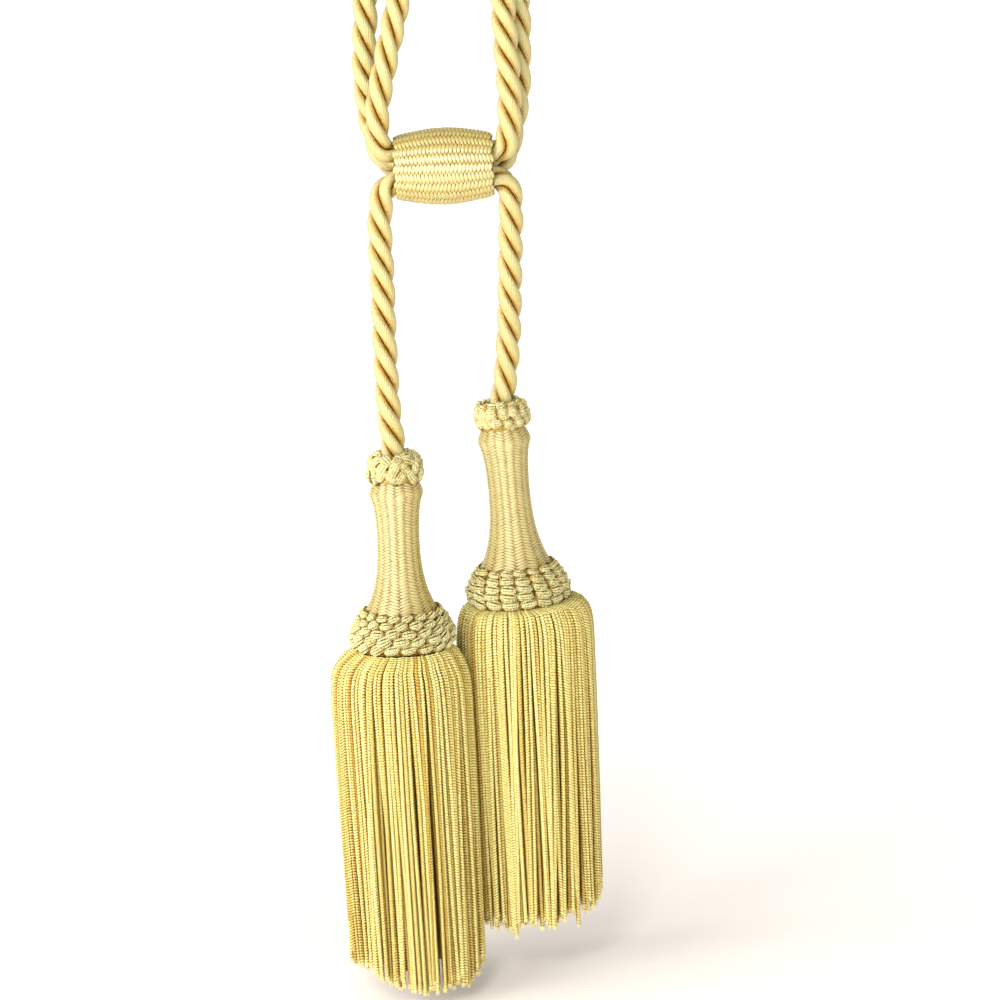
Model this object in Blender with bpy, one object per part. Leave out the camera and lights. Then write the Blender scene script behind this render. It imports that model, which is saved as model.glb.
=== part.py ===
"""Double-tassel curtain tieback.

One three-ply rope makes two long loops that hang from a wall hook. All three passes
of the rope go through a thread-covered wooden slider, and each end of the rope carries
a tassel: a crocheted ruff, a thread-covered turned head, a knotted collar and a fringe.

Sizes are in millimetres until a mesh is made. +Z is up, -Y faces the room, and the
origin is the top of the wall hook, where the inside of both loops rests.
"""

import math
from collections import namedtuple

import bmesh
import bpy
import numpy as np
from mathutils import Matrix, Vector

MM = 0.001                      # metres in a millimetre

# ------------------------------------------------------------------ driving sizes

ROPE_CROWN = 5.6                # from the rope's middle to the crown of a ply
ROPE_GROOVE = 3.6               # from the rope's middle to the groove between plies
ROPE_PLIES = 3
ROPE_LAY = 37.5                 # length in which a ply goes once round, left-handed
ROPE_STEP = ROPE_LAY / 7        # longest distance between two sections
ROPE_BEND_STEP = 30.0           # degrees of bend that also take a section

SLIDER_HEIGHT = -340.0          # middle of the slider
SLIDER_BORE = 11.6              # radius of the bore that the three passes fill
PASS_RADIUS = 6.15              # from the slider's axis to the middle of each pass
PASS_TWIST = 120.0              # degrees by which the three passes turn round each other
PASS_HALF_LENGTH = 21.0         # the turn is spread over this much to each side
PASS_GIRTH = 0.92
SLIDER_RIBS = 20

HEAD_RIBS = 22
HEAD_TOP = 6.0                  # flat top of the head above its ridge
HEAD_FOOT = -70.2               # flat foot of the head below its ridge

COLLAR_COLUMNS = 17
COLLAR_INSIDE = 19.9            # radius inside the collar, round the foot of the head

RUFF_PETALS = 8
RUFF_HOLE = 6.5                 # radius of the hole that the rope fills

BACKING_RADIUS = 20.6           # disc that the fringe is fixed to
BACKING_TOP = -70.8
BACKING_FOOT = -72.6
STRANDS = 72                    # cords in the outer ring of a fringe
STRAND_COVER = 0.78             # part of the ring's length that strands take up
LOCKS = 24                      # bundles inside the outer ring
CORE_LOCKS = 6                  # thicker bundles that fill the middle
LOCK_COVER = 0.8
HEM = -220.0                    # mean end of the fringe below the ridge
HEM_SPREAD = 2.5                # how unevenly the ends are cut
STRAY_EVERY = 13                # every so many strands, one is left longer
STRAY_LENGTH = 8.0
NO_STRAYS = 0

RIB_CROWN = 0.22                # ribs of wound thread stand this far out
RIB_GROOVE = 0.33               # and their grooves lie this far in

# ------------------------------------------------------------------ tables

Stop = namedtuple("Stop", "x y z girth")
Turned = namedtuple("Turned", "radius along")
HeadRow = namedtuple("HeadRow", "radius along drop")
Section = namedtuple("Section", "out_radius out_z in_radius in_z drop")
Tassel = namedtuple(
    "Tassel",
    "side x y ridge_z lean collar_drop shoulder_shift hem_shift hem_lift outer_lift neighbour seed",
)

# The rope's route outside of the slider, whose three passes slider_pass works out.
# Its girth is less than 1 where the slider squeezes it.
FROM_LEFT_TASSEL = (
    Stop(-27.6, -11.0, -476.2, 1.00),
    Stop(-27.9, -11.0, -463.0, 1.00),
    Stop(-29.3, -10.4, -444.0, 1.00),
    Stop(-29.7, -8.6, -416.0, 1.00),
    Stop(-29.6, -6.0, -386.0, 1.00),
    Stop(-29.8, -4.0, -367.0, 1.00),
    Stop(-29.0, -3.2, -356.5, 1.00),
    Stop(-26.5, -3.0, -348.8, 0.99),
)
REAR_LOOP = (
    Stop(26.7, 6.3, -337.6, 0.98),
    Stop(29.2, 6.5, -329.5, 1.00),
    Stop(33.0, 6.3, -312.0, 1.00),
    Stop(34.5, 6.2, -288.0, 1.00),
    Stop(34.7, 6.2, -252.0, 1.00),
    Stop(32.6, 6.2, -200.0, 1.00),
    Stop(29.5, 6.2, -130.0, 1.00),
    Stop(27.0, 6.2, -60.0, 1.00),
    Stop(24.5, 6.2, -18.0, 1.00),
    Stop(14.5, 6.2, 0.3, 1.00),
    Stop(0.0, 6.2, 6.0, 1.00),
    Stop(-14.5, 6.2, 0.3, 1.00),
    Stop(-24.0, 6.2, -18.0, 1.00),
    Stop(-25.0, 6.2, -70.0, 1.00),
    Stop(-26.5, 6.2, -150.0, 1.00),
    Stop(-29.0, 6.2, -230.0, 1.00),
    Stop(-32.2, 6.3, -272.0, 1.00),
    Stop(-33.7, 6.4, -300.0, 1.00),
    Stop(-32.3, 6.6, -317.0, 1.00),
    Stop(-29.6, 6.6, -329.0, 1.00),
    Stop(-26.3, 6.4, -337.0, 0.98),
)
FRONT_LOOP = (
    Stop(26.9, -4.6, -331.8, 0.98),
    Stop(28.8, -5.6, -324.0, 1.00),
    Stop(29.5, -6.2, -310.0, 1.00),
    Stop(28.6, -6.2, -288.0, 1.00),
    Stop(27.5, -6.2, -250.0, 1.00),
    Stop(27.2, -6.2, -190.0, 1.00),
    Stop(26.4, -6.2, -110.0, 1.00),
    Stop(24.6, -6.2, -18.0, 1.00),
    Stop(14.5, -6.2, 0.3, 1.00),
    Stop(0.0, -6.2, 6.0, 1.00),
    Stop(-14.5, -6.2, 0.3, 1.00),
    Stop(-23.8, -6.2, -18.0, 1.00),
    Stop(-21.5, -6.2, -80.0, 1.00),
    Stop(-17.6, -6.2, -150.0, 1.00),
    Stop(-15.2, -6.2, -215.0, 1.00),
    Stop(-17.2, -6.2, -265.0, 1.00),
    Stop(-23.8, -6.2, -293.0, 1.00),
    Stop(-28.0, -6.0, -312.0, 1.00),
    Stop(-28.9, -5.7, -323.5, 1.00),
    Stop(-26.9, -4.6, -331.9, 0.98),
)
TO_RIGHT_TASSEL = (
    Stop(26.7, -3.0, -348.2, 0.99),
    Stop(28.3, -2.2, -356.5, 1.00),
    Stop(27.8, 0.6, -371.0, 1.00),
    Stop(26.8, 4.0, -391.0, 1.00),
    Stop(25.4, 7.8, -416.0, 1.00),
    Stop(23.2, 10.6, -436.0, 1.00),
    Stop(21.0, 11.0, -449.0, 1.00),
    Stop(21.2, 11.0, -457.9, 1.00),
)

# The slider's ribbed outside, then its bore, with a mouth that is rounded for the rope.
SLIDER_OUTSIDE = (
    Turned(13.1, -22.2),
    Turned(13.9, -20.4),
    Turned(15.2, -14.0),
    Turned(16.5, -5.0),
    Turned(16.5, 5.0),
    Turned(15.2, 14.0),
    Turned(13.9, 20.4),
    Turned(13.1, 22.2),
)
SLIDER_INSIDE = (
    Turned(12.5, 22.2),
    Turned(SLIDER_BORE, 19.0),
    Turned(SLIDER_BORE, -19.0),
    Turned(12.5, -22.2),
)

# The head from its flat top to its flat foot; distances are from its ridge, upward.
# The drop column says how much of a tassel's own collar_drop lowers the row.
HEAD_PROFILE = (
    HeadRow(9.6, HEAD_TOP, 0.0),
    HeadRow(11.0, 2.4, 0.0),
    HeadRow(11.6, 0.0, 0.0),
    HeadRow(10.0, -4.2, 0.0),
    HeadRow(9.0, -12.0, 0.0),
    HeadRow(8.8, -25.0, 0.5),
    HeadRow(10.2, -35.0, 0.7),
    HeadRow(12.6, -43.0, 0.8),
    HeadRow(16.2, -50.5, 1.0),
    HeadRow(18.9, -57.0, 1.0),
    HeadRow(18.9, HEAD_FOOT, 1.0),
)

# The knotted face of the collar, from its top edge to its foot.
COLLAR_FACE = (
    Turned(17.4, -50.8),
    Turned(19.2, -52.8),
    Turned(20.4, -56.2),
    Turned(21.8, -59.4),
    Turned(22.9, -62.8),
    Turned(23.6, -66.0),
    Turned(23.4, -69.3),
)
COLLAR_BACK = (
    Turned(22.2, -70.4),
    Turned(COLLAR_INSIDE, -70.4),
    Turned(COLLAR_INSIDE, -56.4),
    Turned(17.0, -51.0),
)
KNOT_RISE = 0.75                # a knot's crown above the mean face
KNOT_SINK = 0.75                # the gap between knots below it

# Section through the ruff at a petal and between two petals.
RUFF_AT_PETAL = (
    Turned(RUFF_HOLE, 18.6),
    Turned(9.0, 18.4),
    Turned(11.8, 15.0),
    Turned(12.8, 10.4),
    Turned(10.6, 7.0),
    Turned(RUFF_HOLE, 6.6),
)
RUFF_BETWEEN = (
    Turned(RUFF_HOLE, 17.0),
    Turned(8.2, 16.8),
    Turned(9.8, 14.6),
    Turned(10.3, 11.4),
    Turned(9.4, 8.4),
    Turned(RUFF_HOLE, 7.0),
)

# A strand's outer and inner side, from its root down to its end.
STRAND_SECTIONS = (
    Section(BACKING_RADIUS, BACKING_TOP, BACKING_RADIUS, BACKING_FOOT, 1.0),
    Section(25.2, -71.0, 24.6, -72.7, 0.95),
    Section(28.9, -74.6, 27.4, -75.8, 0.1),
    Section(30.7, -84.0, 28.9, -84.4, 0.0),
    Section(31.2, -140.0, 29.4, -140.0, 0.0),
    Section(31.0, HEM, 29.2, HEM, 0.0),
)
LOCK_SECTIONS = (
    Section(16.5, BACKING_FOOT, 11.5, BACKING_FOOT, 1.0),
    Section(26.2, -90.0, 21.8, -90.0, 0.0),
    Section(26.4, HEM, 21.8, HEM, 0.0),
)
CORE_SECTIONS = (
    Section(10.0, BACKING_FOOT, 3.0, BACKING_FOOT, 1.0),
    Section(17.8, -90.0, 3.0, -90.0, 0.0),
    Section(18.0, HEM, 3.0, HEM, 0.0),
)

TASSELS = (
    Tassel("left", -27.6, -11.0, -483.1, 0.0, 0.0, -1.8, 0.6, -2.0, 3.5, 21.1, 3),
    Tassel("right", 21.5, 11.0, -464.9, 3.2, 4.6, 1.4, -5.5, 1.5, 2.5, 201.1, 8),
)
FLAT_REACH = 29.8               # the fringes flatten each other this far from their middles

Finish = namedtuple("Finish", "colour roughness")
FINISHES = {
    "rope": Finish((0.76, 0.58, 0.24), 0.42),
    "slider": Finish((0.82, 0.67, 0.34), 0.36),
    "ruff": Finish((0.72, 0.56, 0.24), 0.50),
    "head": Finish((0.80, 0.64, 0.31), 0.36),
    "collar": Finish((0.70, 0.53, 0.22), 0.50),
    "fringe": Finish((0.66, 0.52, 0.20), 0.55),
}

# ------------------------------------------------------------------ scene helpers


def clear_scene():
    """Remove every object that the file starts with."""
    for existing in list(bpy.data.objects):
        bpy.data.objects.remove(existing, do_unlink=True)


def material(kind):
    """Return the Principled material of one kind of piece, made once."""
    made = bpy.data.materials.get(kind)
    if made:
        return made
    finish = FINISHES[kind]
    made = bpy.data.materials.new(kind)
    made.use_nodes = True
    shader = made.node_tree.nodes["Principled BSDF"]
    shader.inputs["Base Color"].default_value = (*finish.colour, 1.0)
    shader.inputs["Roughness"].default_value = finish.roughness
    shader.inputs["Metallic"].default_value = 0.0
    made.diffuse_color = (*finish.colour, 1.0)
    return made


def add_piece(name, kind, mesh_edit, placement=None):
    """Finish a bmesh, scale it to metres and link it as one named object."""
    bmesh.ops.recalc_face_normals(mesh_edit, faces=mesh_edit.faces)
    mesh = bpy.data.meshes.new(name)
    mesh_edit.to_mesh(mesh)
    mesh_edit.free()
    mesh.transform(Matrix.Scale(MM, 4))
    mesh.materials.append(material(kind))
    piece = bpy.data.objects.new(name, mesh)
    bpy.context.scene.collection.objects.link(piece)
    if placement is not None:
        piece.matrix_world = placement
    return piece


def polar(radius, angle, along):
    """A point at a radius and an angle round the Z axis."""
    return Vector((radius * math.cos(angle), radius * math.sin(angle), along))


def ribbed_ring(mesh_edit, row, ribs, relief=1.0):
    """A ring of a turned piece whose corners are the crowns and grooves of its ribs."""
    ring = []
    for corner in range(2 * ribs):
        rib = -RIB_GROOVE if corner % 2 else RIB_CROWN
        angle = math.pi * corner / ribs
        ring.append(mesh_edit.verts.new(polar(row.radius + relief * rib, angle, row.along)))
    return ring


def skin(mesh_edit, first, second):
    """Join two rings of the same length with quads."""
    count = len(first)
    for index in range(count):
        after = (index + 1) % count
        mesh_edit.faces.new((first[index], first[after], second[after], second[index]))


def skin_short_way(mesh_edit, first, second):
    """Join two rings with triangles, each quad split along its shorter diagonal."""
    count = len(first)
    for index in range(count):
        after = (index + 1) % count
        a, b, c, d = first[index], first[after], second[after], second[index]
        if (a.co - c.co).length < (b.co - d.co).length:
            mesh_edit.faces.new((a, b, c))
            mesh_edit.faces.new((a, c, d))
        else:
            mesh_edit.faces.new((a, b, d))
            mesh_edit.faces.new((b, c, d))


# ------------------------------------------------------------------ rope


def slider_pass(start_angle):
    """The stops of one pass through the slider, from its left end to its right end."""
    stops = []
    for along in (-1.0, -0.8, -0.4, 0.0, 0.4, 0.8, 1.0):
        angle = math.radians(start_angle + PASS_TWIST * (along + 1.0) / 2)
        stops.append(Stop(
            along * PASS_HALF_LENGTH,
            PASS_RADIUS * math.cos(angle),
            SLIDER_HEIGHT + PASS_RADIUS * math.sin(angle),
            PASS_GIRTH,
        ))
    return tuple(stops)


def whole_route():
    """Every stop of the rope, from the left tassel to the right one."""
    low_front_to_rear = slider_pass(-120.0)
    rear_to_high_front = slider_pass(0.0)
    high_front_to_low_front = slider_pass(120.0)
    return (
        FROM_LEFT_TASSEL + low_front_to_rear
        + REAR_LOOP + rear_to_high_front
        + FRONT_LOOP + high_front_to_low_front
        + TO_RIGHT_TASSEL
    )


def smooth_route(stops, spacing=0.5):
    """A centripetal Catmull-Rom curve through the stops, as x, y, z, girth rows."""
    knots = np.array(stops, dtype=float)
    first = 2 * knots[0] - knots[1]
    last = 2 * knots[-1] - knots[-2]
    knots = np.vstack((first, knots, last))
    rows = []
    for index in range(1, len(knots) - 2):
        p0, p1, p2, p3 = knots[index - 1:index + 3]
        t1 = math.sqrt(np.linalg.norm((p1 - p0)[:3]))
        t2 = t1 + math.sqrt(np.linalg.norm((p2 - p1)[:3]))
        t3 = t2 + math.sqrt(np.linalg.norm((p3 - p2)[:3]))
        count = max(4, int(np.linalg.norm((p2 - p1)[:3]) / spacing))
        for t in np.linspace(t1, t2, count, endpoint=False):
            a1 = p0 + (p1 - p0) * t / t1
            a2 = p1 + (p2 - p1) * (t - t1) / (t2 - t1)
            a3 = p2 + (p3 - p2) * (t - t2) / (t3 - t2)
            b1 = a1 + (a2 - a1) * t / t2
            b2 = a2 + (a3 - a2) * (t - t1) / (t3 - t1)
            rows.append(b1 + (b2 - b1) * (t - t1) / (t2 - t1))
    rows.append(knots[-2])
    return np.array(rows)


def unit(vectors):
    """Each row scaled to length 1."""
    return vectors / np.linalg.norm(vectors, axis=1)[:, None]


def rope_sections(route):
    """Pick the route rows that take a section: evenly, and closer in the bends."""
    steps = np.linalg.norm(np.diff(route[:, :3], axis=0), axis=1)
    headings = unit(np.diff(route[:, :3], axis=0))
    turns = np.degrees(np.arccos(np.clip(np.sum(headings[1:] * headings[:-1], axis=1), -1, 1)))
    turns = np.append(turns, 0.0)
    demand = np.concatenate(([0.0], np.cumsum(steps / ROPE_STEP + turns / ROPE_BEND_STEP)))
    count = int(math.ceil(demand[-1]))
    wanted = np.linspace(0.0, demand[-1], count + 1)
    travelled = np.concatenate(([0.0], np.cumsum(steps)))
    rows = np.column_stack([np.interp(wanted, demand, route[:, k]) for k in range(4)])
    return rows, np.interp(wanted, demand, travelled)


def carried_frames(points):
    """Headings along the points, with one side vector carried along without twisting."""
    headings = unit(np.gradient(points, axis=0))
    side = np.cross(headings[0], (0.0, 1.0, 0.0))
    sides = []
    for heading in headings:
        side = side - heading * np.dot(side, heading)
        side = side / np.linalg.norm(side)
        sides.append(side)
    sides = np.array(sides)
    return sides, np.cross(headings, sides)


def build_rope():
    """The whole rope as one closed solid whose plies are raised along its length."""
    rows, travelled = rope_sections(smooth_route(whole_route()))
    sides, fronts = carried_frames(rows[:, :3])
    mesh_edit = bmesh.new()
    corners = 2 * ROPE_PLIES
    rings = []
    for row, distance, side, front in zip(rows, travelled, sides, fronts):
        ring = []
        for corner in range(corners):
            angle = 2 * math.pi * (corner / corners - distance / ROPE_LAY)
            reach = (ROPE_GROOVE if corner % 2 else ROPE_CROWN) * row[3]
            spot = row[:3] + reach * (math.cos(angle) * side + math.sin(angle) * front)
            ring.append(mesh_edit.verts.new(spot))
        rings.append(ring)
    for first, second in zip(rings, rings[1:]):
        skin_short_way(mesh_edit, first, second)
    mesh_edit.faces.new(rings[0])
    mesh_edit.faces.new(rings[-1])
    return add_piece("rope", "rope", mesh_edit)


# ------------------------------------------------------------------ slider


def build_slider():
    """The barrel-shaped slider, ribbed outside and bored for the three passes."""
    mesh_edit = bmesh.new()
    rings = []
    for row in SLIDER_OUTSIDE + SLIDER_INSIDE:
        ribbed = 1.0 if row in SLIDER_OUTSIDE else 0.0
        rings.append(ribbed_ring(mesh_edit, row, SLIDER_RIBS, ribbed))
    for index, ring in enumerate(rings):
        skin(mesh_edit, ring, rings[(index + 1) % len(rings)])
    lie_along_x = Matrix.Rotation(math.radians(90), 4, "Y")
    place = Matrix.Translation((0.0, 0.0, SLIDER_HEIGHT * MM)) @ lie_along_x
    return add_piece("slider", "slider", mesh_edit, place)


# ------------------------------------------------------------------ tassels


def build_ruff(name, place):
    """The crocheted ruff: a ring of petals round the rope, on top of the head."""
    mesh_edit = bmesh.new()
    corners = 3 * RUFF_PETALS
    rings = []
    for corner in range(corners):
        petal = 0.5 + 0.5 * math.cos(2 * math.pi * corner / 3)
        angle = 2 * math.pi * corner / corners
        ring = []
        for high, low in zip(RUFF_AT_PETAL, RUFF_BETWEEN):
            radius = low.radius + (high.radius - low.radius) * petal
            along = low.along + (high.along - low.along) * petal
            ring.append(mesh_edit.verts.new(polar(radius, angle, along)))
        rings.append(ring)
    for index, ring in enumerate(rings):
        skin(mesh_edit, ring, rings[(index + 1) % corners])
    return add_piece(name, "ruff", mesh_edit, place)


def build_head(name, tassel, place):
    """The turned head under its wound thread, with a rib for each column of stitches."""
    mesh_edit = bmesh.new()
    rings = []
    for row in HEAD_PROFILE:
        lowered = row._replace(along=row.along - row.drop * tassel.collar_drop)
        rings.append(ribbed_ring(mesh_edit, lowered, HEAD_RIBS))
    for first, second in zip(rings, rings[1:]):
        skin(mesh_edit, first, second)
    mesh_edit.faces.new(rings[0])
    mesh_edit.faces.new(rings[-1])
    return add_piece(name, "head", mesh_edit, place)


def build_collar(name, place):
    """The knotted collar: staggered rows of raised knots on a band round the head."""
    mesh_edit = bmesh.new()
    corners = 2 * COLLAR_COLUMNS
    last_row = len(COLLAR_FACE) - 1
    rings = []
    for row_index, row in enumerate(COLLAR_FACE + COLLAR_BACK):
        knotted_row = row_index % 2 == 1 and row_index < last_row
        stagger = row_index // 2
        ring = []
        for corner in range(corners):
            rise = 0.0
            if knotted_row:
                rise = KNOT_RISE if (corner + stagger) % 2 == 0 else -KNOT_SINK
            angle = 2 * math.pi * corner / corners
            ring.append(mesh_edit.verts.new(polar(row.radius + rise, angle, row.along)))
        rings.append(ring)
    for index, ring in enumerate(rings):
        skin(mesh_edit, ring, rings[(index + 1) % len(rings)])
    return add_piece(name, "collar", mesh_edit, place)


class FringeShape:
    """Where the strands of one fringe hang: how they lean, wave and are cut."""

    def __init__(self, tassel):
        self.tassel = tassel
        self.random = np.random.default_rng(tassel.seed)
        self.phases = self.random.uniform(0, 2 * math.pi, 6)
        self.shoulder = STRAND_SECTIONS[3].out_z

    def droop(self, along):
        """How far down the fringe a height is: 0 at the shoulder and above, 1 at the hem."""
        return min(1.0, max(0.0, (self.shoulder - along) / (self.shoulder - HEM)))

    def shift(self, along):
        """How far the fringe's middle hangs to one side of the head's axis."""
        lean = self.tassel.hem_shift - self.tassel.shoulder_shift
        return self.tassel.shoulder_shift + lean * self.droop(along)

    def waved(self, angle, along):
        """Angle and change of radius of a strand that hangs at an angle."""
        down = self.droop(along)
        p = self.phases
        sideways = 0.012 * math.sin(3 * angle + p[0]) + 0.008 * math.sin(5 * angle + p[1])
        outward = 0.5 * math.sin(2 * angle + p[2]) + 0.35 * math.sin(5 * angle + p[3])
        outward += 0.3 * math.sin(9 * angle + p[4] + 2.0 * down)
        return angle + sideways * down, outward * down

    def pressed(self, strand, along):
        """The move by which the other tassel's fringe flattens this one."""
        toward = polar(1.0, math.radians(self.tassel.neighbour), 0.0)
        turned, outward = self.waved(strand, along)
        reach = polar(STRAND_SECTIONS[4].out_radius + outward, turned, 0.0).dot(toward)
        return toward * min(0.0, FLAT_REACH - reach)

    def spot(self, strand, radius, side, along, settled):
        """A point of the strand at an angle, for a radius, a turn aside and a height.

        Settled is 0 at the strand's root and 1 where it hangs free of the backing.
        """
        turned, outward = self.waved(strand, along)
        hanging = self.pressed(strand, along)
        hanging.x += self.shift(along)
        return polar(radius + outward, turned + side, along) + settled * hanging

    def ends(self, count, stray_every):
        """How far below or above the mean hem each strand is cut."""
        cuts = self.random.uniform(-HEM_SPREAD, HEM_SPREAD, count)
        if stray_every != NO_STRAYS:
            strays = cuts[::stray_every]
            strays -= STRAY_LENGTH * self.random.uniform(0.3, 1.0, len(strays))
        away = np.linspace(0, 2 * math.pi, count, endpoint=False) - math.radians(self.tassel.neighbour)
        return cuts + self.tassel.hem_lift - self.tassel.outer_lift * np.cos(away)


def bundle_rings(mesh_edit, shape, sections, angle, half_angle, cut):
    """The four-cornered rings of one strand or lock, from its root to its end."""
    rings = []
    for section in sections:
        lift = cut if section.out_z == HEM else -section.drop * shape.tassel.collar_drop
        settled = 1.0 - section.drop
        ring = []
        for radius, along, side in (
            (section.out_radius, section.out_z, -half_angle),
            (section.out_radius, section.out_z, half_angle),
            (section.in_radius, section.in_z, half_angle),
            (section.in_radius, section.in_z, -half_angle),
        ):
            spot = shape.spot(angle, radius, side, along + lift, settled)
            ring.append(mesh_edit.verts.new(spot))
        rings.append(ring)
    for first, second in zip(rings, rings[1:]):
        skin(mesh_edit, first, second)
    mesh_edit.faces.new(rings[-1])
    return rings[0]


def build_bundles(mesh_edit, shape, sections, cover, count, stray_every):
    """A ring of strands or locks, evenly spaced, and the rings at their roots."""
    half_angle = cover * math.pi / count
    return [
        bundle_rings(mesh_edit, shape, sections, 2 * math.pi * index / count, half_angle, cut)
        for index, cut in enumerate(shape.ends(count, stray_every))
    ]


def build_fringe(name, tassel, place):
    """The fringe: strands and inner locks, all grown out of one backing disc."""
    mesh_edit = bmesh.new()
    shape = FringeShape(tassel)
    strand_roots = build_bundles(
        mesh_edit, shape, STRAND_SECTIONS, STRAND_COVER, STRANDS, STRAY_EVERY)
    lock_roots = build_bundles(mesh_edit, shape, LOCK_SECTIONS, LOCK_COVER, LOCKS, NO_STRAYS)
    lock_roots += build_bundles(
        mesh_edit, shape, CORE_SECTIONS, LOCK_COVER, CORE_LOCKS, NO_STRAYS)
    rim_top, rim_foot = [], []
    for index, root in enumerate(strand_roots):
        after = strand_roots[(index + 1) % STRANDS]
        mesh_edit.faces.new((root[1], after[0], after[3], root[2]))
        rim_top += [root[0], root[1]]
        rim_foot += [root[3], root[2]]
    mesh_edit.faces.new(rim_top)
    foot_edges = [mesh_edit.edges.get((a, b)) or mesh_edit.edges.new((a, b))
                  for a, b in zip(rim_foot, rim_foot[1:] + rim_foot[:1])]
    for root in lock_roots:
        foot_edges += [mesh_edit.edges.get((a, b)) for a, b in zip(root, root[1:] + root[:1])]
    bmesh.ops.triangle_fill(mesh_edit, use_beauty=True, use_dissolve=False, edges=foot_edges)
    return add_piece(name, "fringe", mesh_edit, place)


def build_tassel(tassel):
    """One tassel's four pieces, leaning as it hangs."""
    ridge = Matrix.Translation((tassel.x * MM, tassel.y * MM, tassel.ridge_z * MM))
    place = ridge @ Matrix.Rotation(math.radians(-tassel.lean), 4, "Y")
    collar_place = place @ Matrix.Translation((0.0, 0.0, -tassel.collar_drop * MM))
    build_ruff(f"{tassel.side}_ruff", place)
    build_head(f"{tassel.side}_head", tassel, place)
    build_collar(f"{tassel.side}_collar", collar_place)
    build_fringe(f"{tassel.side}_fringe", tassel, place)


def main():
    """Build the whole tieback."""
    clear_scene()
    build_rope()
    build_slider()
    for tassel in TASSELS:
        build_tassel(tassel)


main()
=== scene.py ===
"""Looks of a double-tassel curtain tieback.

A three-ply rope, a thread-covered slider and two tassels, each of a crocheted ruff, a
thread-covered head, a knotted collar and a fringe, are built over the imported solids.
Lengths are in metres, and MM turns millimetres into them. +Z is up and -Y faces the room.
"""

from __future__ import annotations

import logging
import math
from collections.abc import Sequence
from dataclasses import dataclass, field
from enum import Enum

import bpy
import numpy as np
from bpy.types import ID, Material, Node, NodeSocket, NodeTree, Object
from mathutils import Matrix, Vector


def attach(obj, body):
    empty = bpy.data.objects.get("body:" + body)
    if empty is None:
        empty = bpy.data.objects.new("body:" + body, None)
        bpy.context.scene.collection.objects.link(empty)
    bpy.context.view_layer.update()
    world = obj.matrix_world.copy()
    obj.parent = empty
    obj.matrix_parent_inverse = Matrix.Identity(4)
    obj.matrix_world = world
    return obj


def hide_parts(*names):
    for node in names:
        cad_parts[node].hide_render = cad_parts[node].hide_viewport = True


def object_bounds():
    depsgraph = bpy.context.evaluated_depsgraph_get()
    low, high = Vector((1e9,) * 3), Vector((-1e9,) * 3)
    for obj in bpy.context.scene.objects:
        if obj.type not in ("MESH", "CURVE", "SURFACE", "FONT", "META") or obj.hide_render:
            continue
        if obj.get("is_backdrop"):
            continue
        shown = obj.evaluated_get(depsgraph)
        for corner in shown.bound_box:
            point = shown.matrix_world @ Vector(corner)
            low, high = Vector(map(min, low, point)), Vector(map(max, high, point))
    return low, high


MM = 0.001
BODY = "root"                       # nothing here turns on a joint, so there is one body
IMAGE_WIDTH = 1000.0                # pixels across the picture
GLOSS_TONE = "#F9FFF6"              # the gloss of dyed rayon is nearly white

log = logging.getLogger("tieback")

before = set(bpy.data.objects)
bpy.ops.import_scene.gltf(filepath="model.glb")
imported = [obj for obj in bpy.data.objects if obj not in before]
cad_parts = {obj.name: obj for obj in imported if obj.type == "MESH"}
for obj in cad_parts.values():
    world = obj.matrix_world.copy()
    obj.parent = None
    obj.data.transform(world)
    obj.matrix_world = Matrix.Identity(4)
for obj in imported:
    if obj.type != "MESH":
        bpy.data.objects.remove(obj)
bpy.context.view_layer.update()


# ------------------------------------------------------------------ nodes


def add_node(tree: NodeTree, kind: str, inputs: dict[str | int, object] | None = None,
             **settings: object) -> Node:
    """Add a node with its settings, input values and links.

    Args:
        tree: The node tree that the node goes into.
        kind: The node's type name.
        inputs: Values or output sockets, by an input's name or by its number.
        **settings: The node's own properties.

    Returns:
        The new node.
    """
    node = tree.nodes.new(kind)
    for name, value in settings.items():
        setattr(node, name, value)
    for key, value in (inputs or {}).items():
        if isinstance(key, int):
            target = node.inputs[key]
        else:
            target = next(s for s in node.inputs if s.enabled and s.name == key)
        if isinstance(value, NodeSocket):
            tree.links.new(value, target)
        else:
            target.default_value = value
    return node


def reckoned(tree: NodeTree, operation: str, first: object, second: object = 0.0) -> NodeSocket:
    """Add a math node.

    Args:
        tree: The node tree that it goes into.
        operation: What it does, such as "ADD".
        first: Its first value or output socket.
        second: Its second one, where the operation takes two.

    Returns:
        The result, as a socket.
    """
    return add_node(tree, "ShaderNodeMath", {0: first, 1: second}, operation=operation).outputs[0]


def ranged(tree: NodeTree, value: NodeSocket, start: float, end: float, low: float,
           high: float) -> NodeSocket:
    """Add a node that maps a value between two bounds, and holds it at them.

    Args:
        tree: The node tree that it goes into.
        value: The value's socket.
        start: The value that gives low.
        end: The value that gives high.
        low: The result at the start.
        high: The result at the end.

    Returns:
        The result, as a socket.
    """
    inputs = {"Value": value, "From Min": start, "From Max": end, "To Min": low, "To Max": high}
    return add_node(tree, "ShaderNodeMapRange", inputs).outputs["Result"]


def set_inputs(shader: Node, values: dict[str, object]) -> None:
    """Set a shader's constants or links, by its inputs' names."""
    for name, value in values.items():
        if isinstance(value, NodeSocket):
            shader.id_data.links.new(value, shader.inputs[name])
        else:
            shader.inputs[name].default_value = value


def read_value(tree: NodeTree, name: str, output: str = "Fac") -> NodeSocket:
    """Add a node that reads a mesh's named value, and return the value's socket."""
    return add_node(tree, "ShaderNodeAttribute", attribute_name=name).outputs[output]


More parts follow.
